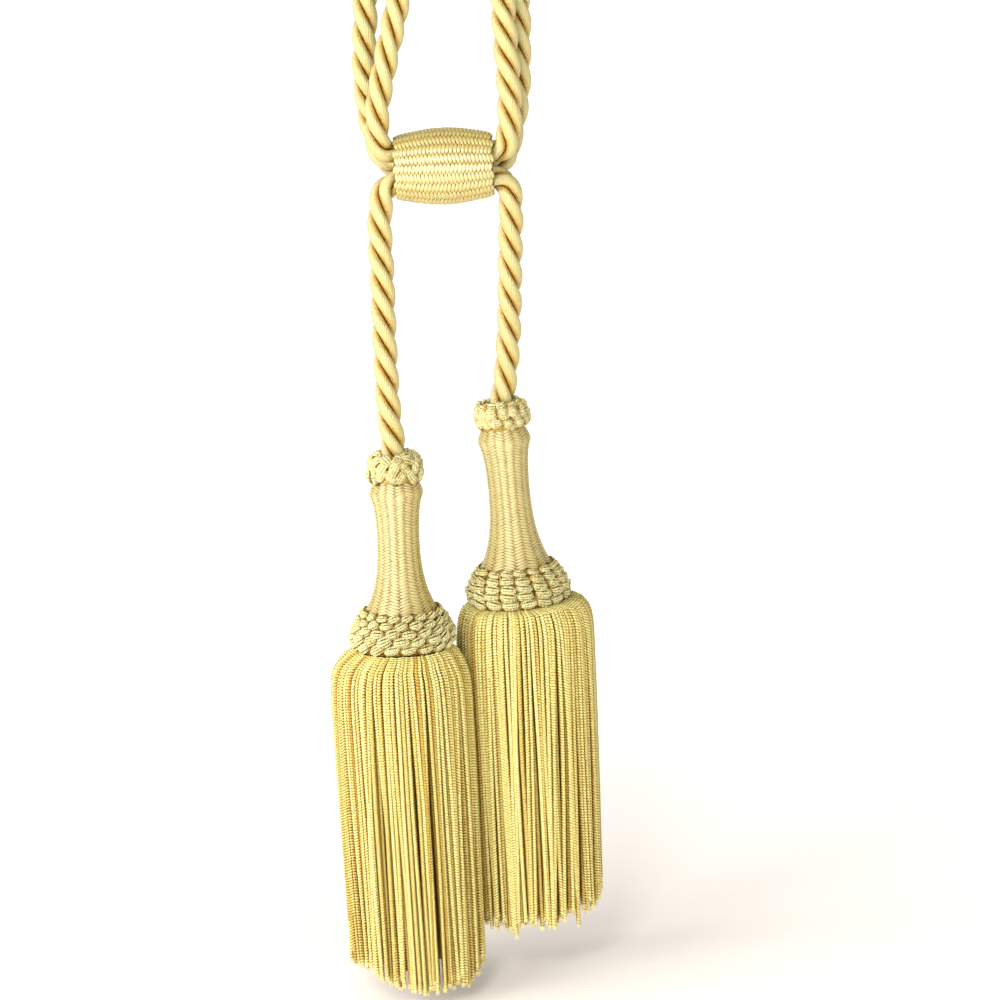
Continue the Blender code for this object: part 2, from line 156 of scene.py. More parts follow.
def linear(sheet_colour: str) -> tuple[float, float, float, float]:
    """Turn an sRGB hex colour, such as "#E6C88A", into a linear RGBA value."""
    channels = [int(sheet_colour[i:i + 2], 16) / 255 for i in (1, 3, 5)]
    curved = [c / 12.92 if c <= 0.04045 else ((c + 0.055) / 1.055) ** 2.4 for c in channels]
    return (*curved, 1.0)


def linked(name: str, data: ID, place: Matrix | None = None) -> Object:
    """Add an object to the scene.

    Args:
        name: Its name.
        data: Its mesh, camera or light.
        place: Where it stands, or nothing for the origin.

    Returns:
        The object.
    """
    made = bpy.data.objects.new(name, data)
    if place is not None:
        made.matrix_world = place
    bpy.context.scene.collection.objects.link(made)
    return made


# ------------------------------------------------------------------ finishes


CROWN_TONE = 0.12                   # the tones at which a thread has its three colours
FLANK_TONE = 0.5
GROOVE_TONE = 1.0


class Lay(Enum):
    """How the fine threads of a surface lie."""

    WRAPPED = "wound across the piece"
    TWISTED = "running round the piece on a slant"
    CHAINED = "looped in a herringbone"
    PARALLEL = "running along the piece"


@dataclass(frozen=True)
class ThreadFinish:
    """Rayon thread in one lay, from its lit crowns to the shade between its turns.

    The colours are sRGB hex, and lengths are in millimetres. A place's tone runs from 0 on
    a crown to 1 in the deepest shade, and picks its colour: the flank and groove colours
    are painted shade, laid on by the depth value and the valleys between threads.
    """

    name: str
    crown: str
    flank: str
    groove: str
    offtone_and_shade: str                       # multiplies the colour of threads that are off in tone, and paints shade on the fringe's inner rings
    lay: Lay
    pitch: float                    # spacing of the threads
    relief: float                   # how far they stand out of the surface
    slant: float = 0.0              # threads passed from a strand's middle to its side
    contrast: float = 0.35          # painted shade in the valleys between threads
    mottle: float = 0.25            # change of tone from patch to patch
    roughness: float = 0.42
    gloss: float = 0.5
    density: float = 1.52           # index of refraction
    sheen: float = 0.01
    satin: float = 0.0              # how far the gloss is drawn out across the threads
    grain: float = 420.0            # patches of colour in a metre

    def phase(self, tree: NodeTree) -> NodeSocket:
        """Add the nodes that count threads along and across the piece.

        Args:
            tree: The material's node tree.

        Returns:
            The number of threads passed, as a socket.
        """
        across = read_value(tree, "across")
        if self.lay is Lay.CHAINED:
            across = reckoned(tree, "ABSOLUTE", across)
        slanted = reckoned(tree, "MULTIPLY", across, self.slant)
        if self.lay is Lay.PARALLEL:
            return slanted
        counted = reckoned(tree, "DIVIDE", read_value(tree, "along"), self.pitch)
        return reckoned(tree, "ADD", counted, slanted)

    def material(self) -> Material:
        """Return the finish's material, made once."""
        made = bpy.data.materials.get(self.name)
        if made:
            return made
        made = bpy.data.materials.new(self.name)
        made.use_nodes = True
        made.diffuse_color = linear(self.flank)
        tree = made.node_tree
        shader = tree.nodes["Principled BSDF"]
        wave = reckoned(tree, "SINE", reckoned(tree, "MULTIPLY", self.phase(tree), math.tau))
        valley = ranged(tree, wave, 0.3, -1.0, 0.0, self.contrast)
        where = add_node(tree, "ShaderNodeTexCoord").outputs["Object"]
        cloud = add_node(tree, "ShaderNodeTexNoise",
                         {"Vector": where, "Scale": self.grain, "Detail": 3.0, "Roughness": 0.6})
        patch = ranged(tree, cloud.outputs["Fac"], 0.3, 0.7, -self.mottle, self.mottle)
        tone = reckoned(tree, "ADD", read_value(tree, "depth"), valley)
        tone = reckoned(tree, "ADD", tone, patch)
        ramp = add_node(tree, "ShaderNodeValToRGB", {"Fac": tone})
        stops = ramp.color_ramp.elements
        stops[0].position, stops[1].position = CROWN_TONE, GROOVE_TONE
        stops[0].color, stops[1].color = linear(self.crown), linear(self.groove)
        stops.new(FLANK_TONE).color = linear(self.flank)
        # Off-tone threads, and the fringe's inner rings as painted shade, are multiplied by a second
        # colour.
        offtone_and_shaded = add_node(tree, "ShaderNodeMix",
                        {0: read_value(tree, "tint"), 6: ramp.outputs["Color"], 7: linear(self.offtone_and_shade)},
                        data_type="RGBA", blend_type="MULTIPLY")
        bump = add_node(tree, "ShaderNodeBump",
                        {"Strength": 1.0, "Distance": self.relief * MM, "Height": wave})
        set_inputs(shader, {
            "Base Color": offtone_and_shaded.outputs[2], "Normal": bump.outputs["Normal"],
            "Roughness": self.roughness, "Metallic": 0.0, "IOR": self.density,
            # Gloss fades where the tone is deep, so painted shade also dims the reflections.
            "Specular IOR Level": ranged(tree, tone, 0.25, 0.85, self.gloss, 0.1 * self.gloss),
            "Specular Tint": linear(GLOSS_TONE), "Sheen Weight": self.sheen,
            "Sheen Roughness": 0.4, "Sheen Tint": linear(GLOSS_TONE)})
        if self.satin:
            turned = add_node(tree, "ShaderNodeVectorTransform",
                              {"Vector": read_value(tree, "lie", "Vector")},
                              vector_type="VECTOR", convert_from="OBJECT", convert_to="WORLD")
            set_inputs(shader, {"Tangent": turned.outputs["Vector"], "Anisotropic": self.satin,
                                "Anisotropic Rotation": 0.25})
        return made


# Viscose rayon floss that lies along the rope on each ply, with painted brown shade in the grooves.
ROPE_FINISH = ThreadFinish(
    "viscose_rayon_floss_laid", "#B6AB62", "#B0842E", "#4A2A04", "#D3B070",
    Lay.TWISTED, pitch=-0.853, relief=0.08, slant=7.3, contrast=0.34, mottle=0.18,
    roughness=0.42, gloss=1.0, density=1.72, grain=900.0)
# The same rayon in woven legs over turned wood: close rows whose fine dark teeth are painted shade, at
# the legs' ends and flanks and on the ground between them.
COVER_FINISH = ThreadFinish(
    "viscose_rayon_thread_woven", "#BCA85A", "#AC7A20", "#4A3006", "#D8B878",
    Lay.PARALLEL, pitch=1.0, relief=0.03, slant=2.5, contrast=0.12, mottle=0.08,
    roughness=0.42, gloss=1.0, density=1.98, satin=0.75)
# The ground of thread in the dips between woven legs, and the disc that the fringe hangs from; its dark
# browns are painted shade.
GROUND_FINISH = ThreadFinish(
    "viscose_rayon_ground_wound", "#8A6828", "#6A4818", "#3A2405", "#C79A5A",
    Lay.WRAPPED, pitch=0.6, relief=0.03, contrast=0.3, mottle=0.2, roughness=0.5, sheen=0.0)
# Two-ply twisted rayon cord, crocheted and knotted.
CROCHET_FINISH = ThreadFinish(
    "viscose_rayon_cord_crocheted", "#F3F1B6", "#D8BA60", "#5E3E0C", "#DCC47C",
    Lay.TWISTED, pitch=0.7, relief=0.05, slant=0.9, contrast=0.20, mottle=0.25,
    roughness=0.42, gloss=1.0, grain=900.0)
# Rayon chainette: a chain of loops whose herringbone catches the light in grains, with painted shade in
# the valleys between its loops.
FRINGE_FINISH = ThreadFinish(
    "viscose_rayon_chainette_knitted", "#EAEDA0", "#D2B254", "#7A5414", "#CCAC50",
    Lay.CHAINED, pitch=1.3, relief=0.10, slant=0.5, contrast=0.74, mottle=0.26,
    roughness=0.44, gloss=0.6, sheen=0.02, grain=1050.0)
# The cut ends of the chainette, whose loose fibres look paler.
FRAYED_FINISH = ThreadFinish(
    "viscose_rayon_fibre_frayed", "#EEDF9E", "#DCC37A", "#B08A40", "#E0BC80",
    Lay.PARALLEL, pitch=1.0, relief=0.02, slant=1.0, contrast=0.1, mottle=0.1,
    roughness=0.6)


# ------------------------------------------------------------------ meshes


@dataclass
class Shell:
    """Points, quads and per-point values that are gathered before one mesh is made."""

    points: list[np.ndarray] = field(default_factory=list)
    quads: list[np.ndarray] = field(default_factory=list)
    caps: list[list[int]] = field(default_factory=list)
    values: dict[str, list[np.ndarray]] = field(default_factory=dict)
    count: int = 0

    def add_rows(self, rows: np.ndarray, closed_ends: bool = True, **values: np.ndarray) -> None:
        """Add a tube as rows of points that run round it.

        Args:
            rows: Points, as an array of row, corner and coordinate.
            closed_ends: Whether the first and last rows get a cap.
            **values: Arrays of row and corner, one for each named value.
        """
        count, corners = rows.shape[:2]
        index = np.arange(count * corners).reshape(count, corners) + self.count
        after = np.roll(index, -1, axis=1)
        quads = np.stack((index[:-1], after[:-1], after[1:], index[1:]), axis=-1)
        self.quads.append(quads.reshape(-1, 4))
        if closed_ends:
            self.caps.append(index[0][::-1].tolist())
            self.caps.append(index[-1].tolist())
        self._store(rows.reshape(-1, 3), values, (count, corners))

    def _store(self, points: np.ndarray, values: dict, shape: tuple[int, int]) -> None:
        """Keep points and their values."""
        self.points.append(points)
        self.count += len(points)
        for name in ("along", "across", "depth", "tint"):
            given = np.broadcast_to(np.asarray(values.get(name, 0.0), float), shape)
            self.values.setdefault(name, []).append(given.reshape(-1))

    def build(self, name: str, finish: ThreadFinish, place: Matrix | None = None) -> Object:
        """Make the gathered shells into one object with one finish.

        Args:
            name: The object's name.
            finish: What it is dressed in.
            place: Where the mesh goes; its points are moved there.

        Returns:
            The linked object, at the origin.
        """
        mesh = bpy.data.meshes.new(name)
        faces = np.concatenate(self.quads).tolist() + self.caps
        mesh.from_pydata(np.concatenate(self.points), [], faces)
        for label, parts in self.values.items():
            attribute = mesh.attributes.new(label, "FLOAT", "POINT")
            attribute.data.foreach_set("value", np.concatenate(parts).astype(np.float32))
        if place is not None:
            mesh.transform(place)
        mesh.shade_smooth()
        mesh.materials.append(finish.material())
        return linked(name, mesh)


def unit(vectors: np.ndarray) -> np.ndarray:
    """Scale each vector of an array to length 1."""
    return vectors / np.maximum(np.linalg.norm(vectors, axis=-1, keepdims=True), 1e-12)


def travelled(points: np.ndarray) -> np.ndarray:
    """The distance along a line of flat or solid points, at each of them."""
    steps = np.linalg.norm(np.diff(points, axis=0), axis=1)
    return np.concatenate(([0.0], np.cumsum(steps)))


def resampled(points: np.ndarray, step: float) -> np.ndarray:
    """Points along a line at an even step.

    Args:
        points: The line, as rows of coordinates and any further columns.
        step: The wished distance from point to point.

    Returns:
        The rows at even distances, ends included.
    """
    distance = travelled(points[:, :3])
    count = max(3, int(round(distance[-1] / step)) + 1)
    wanted = np.linspace(0.0, distance[-1], count)
    return np.column_stack([np.interp(wanted, distance, column) for column in points.T])


def smooth_line(stops: np.ndarray, spacing: float) -> np.ndarray:
    """A centripetal Catmull-Rom curve through stops.

    Args:
        stops: Rows whose first columns are coordinates.
        spacing: The distance between the curve's points.

    Returns:
        The curve's rows, with every column of the stops.
    """
    knots = np.vstack((2 * stops[0] - stops[1], stops, 2 * stops[-1] - stops[-2]))
    reach = min(3, stops.shape[1])
    rows = []
    for i in range(1, len(knots) - 2):
        p0, p1, p2, p3 = knots[i - 1:i + 3]
        t1 = math.sqrt(np.linalg.norm((p1 - p0)[:reach]))
        t2 = t1 + math.sqrt(np.linalg.norm((p2 - p1)[:reach]))
        t3 = t2 + math.sqrt(np.linalg.norm((p3 - p2)[:reach]))
        count = max(4, int(np.linalg.norm((p2 - p1)[:reach]) / spacing))
        for t in np.linspace(t1, t2, count, endpoint=False):
            a1 = p0 + (p1 - p0) * t / t1
            a2 = p1 + (p2 - p1) * (t - t1) / (t2 - t1)
            a3 = p2 + (p3 - p2) * (t - t2) / (t3 - t2)
            b1 = a1 + (a2 - a1) * t / t2
            b2 = a2 + (a3 - a2) * (t - t1) / (t3 - t1)
            rows.append(b1 + (b2 - b1) * (t - t1) / (t2 - t1))
    rows.append(knots[-2])
    return np.array(rows)


def carried_frames(points: np.ndarray, first_side: Sequence[float]) -> tuple[np.ndarray, np.ndarray]:
    """Side and front vectors carried along a line without twisting.

    Args:
        points: The line.
        first_side: The side vector at its start, roughly.

    Returns:
        The side vectors and the front vectors, one pair for each point.
    """
    headings = unit(np.gradient(points, axis=0))
    side = np.array(first_side, float)
    sides = []
    for heading in headings:
        side = side - heading * np.dot(side, heading)
        side = side / np.linalg.norm(side)
        sides.append(side)
    sides = np.array(sides)
    return sides, np.cross(headings, sides)


@dataclass(frozen=True)
class TwistedCord:
    """A thin cord of two plies, as used for crochet and knots."""

    radius: float = 0.72 * MM
    pitch: float = 3.2 * MM
    sides: int = 7
    step: float = 0.62 * MM
    waist: float = 0.72
    dip: float = 2.4                # below this height over its ground the cord is in shade, in mm

    def lay(self, shell: Shell, line: np.ndarray, outward: Sequence[float], tint: float = 0.0) -> None:
        """Add the cord along a line.

        Args:
            shell: What it is added to.
            line: Rows of x, y, z, girth and height over its ground, the last in millimetres.
            outward: The way out of the ground, which isn't along the line's start.
            tint: How far its colour is off, from 0 to 1.
        """
        rows = resampled(line, self.step)
        sides, fronts = carried_frames(rows[:, :3], outward)
        distance = travelled(rows[:, :3])
        turn = np.linspace(0.0, math.tau, self.sides, endpoint=False)[None, :]
        angle = turn - math.tau * (distance / self.pitch)[:, None]
        crown = np.cos(turn) ** 2
        reach = self.radius * rows[:, 3:4] * (self.waist + (1 - self.waist) * crown)
        skin = ((reach * np.cos(angle))[..., None] * sides[:, None]
                + (reach * np.sin(angle))[..., None] * fronts[:, None])
        height = rows[:, 4:5] + skin @ np.asarray(outward, float) / MM
        # Painted shade: darker where the cord lies low among its neighbours, and in the furrow between
        # its plies.
        shade = np.clip(1.0 - height / self.dip, 0.0, 1.0)
        shell.add_rows(rows[:, None, :3] + skin, along=(distance / MM)[:, None], across=np.sin(turn),
                       depth=np.clip(0.3 * (1 - crown) + shade, 0.0, 1.0), tint=tint)


# ------------------------------------------------------------------ geometry node trees


def interface(tree: NodeTree, sockets: dict[str, str]) -> Node:
    """Give a tree its named inputs and its geometry output.

    Args:
        tree: The geometry node tree.
        sockets: Socket types by the inputs' names.

    Returns:
        The group input node.
    """
    for name, kind in sockets.items():
        tree.interface.new_socket(name, in_out="INPUT", socket_type=kind)
    tree.interface.new_socket("Geometry", in_out="OUTPUT", socket_type="NodeSocketGeometry")
    return add_node(tree, "NodeGroupInput")


def named(tree: NodeTree, name: str, kind: str = "FLOAT_VECTOR") -> NodeSocket:
    """Add a node that reads a named value of the given kind, and return its socket."""
    return add_node(tree, "GeometryNodeInputNamedAttribute", {"Name": name}, data_type=kind).outputs[0]


def stored(tree: NodeTree, geometry: NodeSocket, name: str, value: NodeSocket,
           domain: str = "POINT") -> NodeSocket:
    """Add a node that keeps a number on the geometry.

    Args:
        tree: The geometry node tree.
        geometry: The geometry's socket.
        name: The number's name.
        value: The number's socket.
        domain: What has a number each.

    Returns:
        The geometry, as a socket.
    """
    return add_node(tree, "GeometryNodeStoreNamedAttribute",
                    {"Geometry": geometry, "Name": name, "Value": value},
                    domain=domain, data_type="FLOAT").outputs[0]


def dress_result(tree: NodeTree, geometry: NodeSocket, finish: NodeSocket) -> None:
    """End a tree: make its geometry real, give it its material and put it out.

    Args:
        tree: The geometry node tree.
        geometry: The geometry's socket.
        finish: The material's socket.
    """
    real = add_node(tree, "GeometryNodeRealizeInstances", {"Geometry": geometry})
    dressed = add_node(tree, "GeometryNodeSetMaterial",
                       {"Geometry": real.outputs[0], "Material": finish})
    add_node(tree, "NodeGroupOutput", {"Geometry": dressed.outputs[0]})


def seated_tree() -> NodeTree:
    """The tree that puts a copy of one small piece on each seat of a surface.

    Returns:
        A tree that is made once. A seat is a point with the vectors out, lie and size.
    """
    made = bpy.data.node_groups.get("seated_copies")
    if made:
        return made
    tree = bpy.data.node_groups.new("seated_copies", "GeometryNodeTree")
    given = interface(tree, {
        "Seats": "NodeSocketGeometry", "Piece": "NodeSocketObject", "Size jitter": "NodeSocketFloat",
        "Turn jitter": "NodeSocketFloat", "Tint": "NodeSocketFloat", "Seed": "NodeSocketInt",
        "Finish": "NodeSocketMaterial"}).outputs
    seated = add_node(tree, "FunctionNodeAxesToRotation",
                      {"Primary Axis": named(tree, "out"), "Secondary Axis": named(tree, "lie")},
                      primary_axis="Z", secondary_axis="X")
    least = reckoned(tree, "MULTIPLY", given["Turn jitter"], -1.0)
    angle = add_node(tree, "FunctionNodeRandomValue",
                     {"Min": least, "Max": given["Turn jitter"], "Seed": given["Seed"]})
    about = add_node(tree, "FunctionNodeAxisAngleToRotation",
                     {"Axis": (0.0, 0.0, 1.0), "Angle": angle.outputs["Value"]})
    turned = add_node(tree, "FunctionNodeRotateRotation",
                      {"Rotation": seated.outputs[0], "Rotate By": about.outputs[0]},
                      rotation_space="LOCAL")
    grown = add_node(tree, "FunctionNodeRandomValue",
                     {"Min": reckoned(tree, "SUBTRACT", 1.0, given["Size jitter"]),
                      "Max": reckoned(tree, "ADD", 1.0, given["Size jitter"]),
                      "Seed": reckoned(tree, "ADD", given["Seed"], 1.0)})
    scaled = add_node(tree, "ShaderNodeVectorMath",
                      {0: named(tree, "size"), 3: grown.outputs["Value"]}, operation="SCALE")
    piece = add_node(tree, "GeometryNodeObjectInfo", {"Object": given["Piece"]})
    copies = add_node(tree, "GeometryNodeInstanceOnPoints",
                      {"Points": given["Seats"], "Instance": piece.outputs["Geometry"],
                       "Rotation": turned.outputs[0], "Scale": scaled.outputs[0]})
    shade = add_node(tree, "FunctionNodeRandomValue",
                     {"Min": 0.0, "Max": given["Tint"],
                      "Seed": reckoned(tree, "ADD", given["Seed"], 2.0)})
    tinted = stored(tree, copies.outputs[0], "tint", shade.outputs["Value"], "INSTANCE")
    dress_result(tree, tinted, given["Finish"])
    return tree


def strand_tree() -> NodeTree:
    """The tree that makes each guide line a round strand, in shade on its flanks.

    Returns:
        A tree that is made once. A guide's points have the values along, girth and tint,
        and the vector side, which points round the fringe.
    """
    made = bpy.data.node_groups.get("hung_strands")
    if made:
        return made
    tree = bpy.data.node_groups.new("hung_strands", "GeometryNodeTree")
    given = interface(tree, {
        "Guides": "NodeSocketGeometry", "Strand radius": "NodeSocketFloat",
        "Sides": "NodeSocketInt", "Flank depth": "NodeSocketFloat",
        "Finish": "NodeSocketMaterial"}).outputs
    line = add_node(tree, "GeometryNodeMeshToCurve", {"Mesh": given["Guides"]})
    section = add_node(tree, "GeometryNodeCurvePrimitiveCircle",
                       {"Resolution": given["Sides"], "Radius": given["Strand radius"]})
    tube = add_node(tree, "GeometryNodeCurveToMesh",
                    {"Curve": line.outputs[0], "Profile Curve": section.outputs[0],
                     "Scale": named(tree, "girth", "FLOAT"), "Fill Caps": True})
    normal = add_node(tree, "GeometryNodeInputNormal")
    across = add_node(tree, "ShaderNodeVectorMath",
                      {0: normal.outputs[0], 1: named(tree, "side")}, operation="DOT_PRODUCT")
    marked = stored(tree, tube.outputs[0], "across", across.outputs["Value"])
    flanks = reckoned(tree, "POWER", across.outputs["Value"], 4.0)
    deep = reckoned(tree, "MULTIPLY", flanks, given["Flank depth"])
    smooth = add_node(tree, "GeometryNodeSetShadeSmooth",
                      {"Geometry": stored(tree, marked, "depth", deep)})
    dress_result(tree, smooth.outputs[0], given["Finish"])
    return tree


def grown_mesh(carrier: Object, tree: NodeTree, **values: object) -> Object:
    """Run a tree on an object once and keep the result as its plain mesh.

    Args:
        carrier: The object whose mesh the tree starts from.
        tree: The geometry node tree.
        **values: Inputs by their names, with _ for a space.

    Returns:
        The same object, with the grown mesh and no modifier.
    """
    modifier = carrier.modifiers.new("grow", "NODES")
    modifier.node_group = tree
    for item in tree.interface.items_tree:
        key = item.name.replace(" ", "_")
        if item.in_out == "INPUT" and key in values:
            modifier[item.identifier] = values[key]
    bpy.context.view_layer.update()
    grown = carrier.evaluated_get(bpy.context.evaluated_depsgraph_get())
    mesh = bpy.data.meshes.new_from_object(grown)
    carrier.modifiers.remove(modifier)
    carrier.data = mesh
    return carrier


def points_object(name: str, points: np.ndarray, edges: list, **vectors: np.ndarray) -> Object:
    """An object of bare points, with named values for a tree to read.

    Args:
        name: The object's name.
        points: Where they are.
        edges: Pairs of points that a line joins.
        **vectors: One array of vectors or of numbers for each named value.

    Returns:
        The linked object.
    """
    mesh = bpy.data.meshes.new(name)
    mesh.from_pydata(points, edges, [])
    for label, rows in vectors.items():
        rows = np.asarray(rows, np.float32)
        kind, slot = ("FLOAT_VECTOR", "vector") if rows.ndim == 2 else ("FLOAT", "value")
        mesh.attributes.new(label, kind, "POINT").data.foreach_set(slot, rows.ravel())
    return linked(name, mesh)


def joined(name: str, parts: Sequence[Object], node: str) -> Object:
    """Join parts into one piece that stands for a CAD node.

    Args:
        name: The piece's name.
        parts: The objects to join, each a plain mesh.
        node: The CAD node that it replaces, which is hidden.

    Returns:
        The finished piece, riding on the body.
    """
    bpy.ops.object.select_all(action="DESELECT")
    for part in parts:
        part.select_set(True)
    bpy.context.view_layer.objects.active = parts[0]
    if len(parts) > 1:
        bpy.ops.object.join()
    piece = parts[0]
    piece.name = name
    piece.data.name = name
    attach(piece, BODY)
    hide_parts(node)
    log.info("%s: %d faces", name, len(piece.data.polygons))
    return piece


# ------------------------------------------------------------------ camera, light and stage


@dataclass(frozen=True)
class Viewpoint:
    """The camera: where it stands, what it aims at and how it is rolled."""

    place: tuple[float, float, float] = (0.01854, -1.220, -0.2550)
    aim: tuple[float, float, float] = (0.01854, 0.0, -0.49051)
    roll: float = 2.2               # degrees
    focal: float = 2759.0           # pixels
    sensor: float = 36.0            # millimetres

    def build(self) -> Object:
        """Make the camera and set it as the scene's."""
        forward = (Vector(self.aim) - Vector(self.place)).normalized()
        level = forward.cross(Vector((0.0, 0.0, 1.0))).normalized()
        upright = level.cross(forward)
        turn = math.radians(self.roll)
        right = level * math.cos(turn) - upright * math.sin(turn)
        up = level * math.sin(turn) + upright * math.cos(turn)
        data = bpy.data.cameras.new("camera")
        data.sensor_width = self.sensor
        data.lens = self.focal / IMAGE_WIDTH * self.sensor
        data.clip_start = 0.01
        basis = Matrix((right, up, -forward)).transposed().to_4x4()
        camera = linked("camera", data, Matrix.Translation(self.place) @ basis)
        bpy.context.scene.camera = camera
        return camera


def hang_light(name: str, kind: str, place: Sequence[float], aim: Sequence[float],
               **settings: object) -> None:
    """Hang a light and aim it.

    Args:
        name: Its name.
        kind: Its type, such as "AREA".
        place: Where it hangs.
        aim: What it points at.
        **settings: The light's own properties.
    """
    data = bpy.data.lights.new(name, kind)
    for key, value in settings.items():
        setattr(data, key, value)
    turn = (Vector(aim) - Vector(place)).to_track_quat("-Z", "Y").to_matrix().to_4x4()
    linked(name, data, Matrix.Translation(place) @ turn)


@dataclass(frozen=True)
class SoftBox:
    """A square studio light."""

    name: str
    place: tuple[float, float, float]
    aim: tuple[float, float, float]
    size: float
    power: float

    def build(self) -> None:
        """Hang the light."""
        hang_light(self.name, "AREA", self.place, self.aim, shape="SQUARE", size=self.size,
                   energy=self.power)


@dataclass(frozen=True)
class Studio:
    """The white floor that glows with painted light, the light round the object and the lamps."""

    floor_drop: float = 2.0 * MM    # the floor lies this far below the longest strand
    floor_size: float = 120.0
    floor_tone: str = "#FFF6EC"
    floor_glow: tuple[float, float] = (0.13, 0.62)      # painted light of the paper's own glow, near and far
    glow_reach: tuple[float, float] = (0.10, 0.80)      # distances between which it grows
    horizon: float = 1.0
    zenith: float = 0.42
    left_sky: float = 1.55          # the surroundings are lighter on the left
    right_sky: float = 0.66
    window_from: tuple[float, float, float] = (-0.80, -0.20, 0.55)
    window_power: float = 0.6
    window_width: float = 18.0      # degrees across the sky
    lamps: tuple[SoftBox, ...] = (
        SoftBox("key", (-1.15, -1.00, -0.05), (0.0, 0.0, -0.45), 0.80, 17.0),
        SoftBox("front", (-0.30, -1.45, -0.12), (0.0, 0.0, -0.55), 0.80, 6.8),
        SoftBox("fill", (0.80, -1.25, -0.30), (0.0, 0.0, -0.55), 0.90, 4.0),
        SoftBox("spark", (-0.22, -1.25, 0.22), (0.0, 0.0, -0.42), 0.30, 7.0),
    )

    def build(self) -> None:
        """Lay the floor, light the surroundings and hang the lamps."""
        self.lay_floor()
        self.light_sky()
        self.hang_window()
        for lamp in self.lamps:
            lamp.build()
        bpy.context.scene.view_settings.view_transform = "Standard"

    def lay_floor(self) -> None:
        """Lay a wide sheet of white paper under the longest strand of the solids, which glows with
        painted light, less near the object.
        """
        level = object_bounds()[0][2] - self.floor_drop
        half = self.floor_size / 2
        mesh = bpy.data.meshes.new("floor")
        corners = [(x * half, y * half, level) for x, y in ((-1, -1), (1, -1), (1, 1), (-1, 1))]
        mesh.from_pydata(corners, [], [(0, 1, 2, 3)])
        paper = bpy.data.materials.new("paper_matt_coated")
        paper.use_nodes = True
        tree = paper.node_tree
        shader = tree.nodes["Principled BSDF"]
        where = add_node(tree, "ShaderNodeTexCoord").outputs["Object"]
        away = add_node(tree, "ShaderNodeVectorMath", {0: where, 1: (0.0, 0.0, level)},
                        operation="DISTANCE")
        glow = ranged(tree, away.outputs["Value"], *self.glow_reach, *self.floor_glow)
        set_inputs(shader, {
            "Base Color": linear(self.floor_tone), "Roughness": 0.9, "Specular IOR Level": 0.1,
            "Emission Color": (1.0, 1.0, 1.0, 1.0), "Emission Strength": glow})
        mesh.materials.append(paper)
        linked("floor", mesh)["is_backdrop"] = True

    def hang_window(self) -> None:
        """Add the wide soft light from the left, which throws the shadows over the floor."""
        hang_light("window", "SUN", self.window_from, (0.0, 0.0, 0.0), energy=self.window_power,
                   angle=math.radians(self.window_width))

    def light_sky(self) -> None:
        """Light the surroundings: white round the horizon, dimmer overhead and on the right."""
        world = bpy.data.worlds.new("studio")
        world.use_nodes = True
        tree = world.node_tree
        where = add_node(tree, "ShaderNodeTexCoord").outputs["Generated"]
        parts = add_node(tree, "ShaderNodeSeparateXYZ", {"Vector": where}).outputs
        level = ranged(tree, parts["Z"], 0.02, 0.28, self.horizon, self.zenith)
        across = ranged(tree, parts["X"], -0.7, 0.7, self.left_sky, self.right_sky)
        set_inputs(tree.nodes["Background"], {
            "Color": (1.0, 1.0, 1.0, 1.0), "Strength": reckoned(tree, "MULTIPLY", level, across)})
        bpy.context.scene.world = world


# ------------------------------------------------------------------ rope


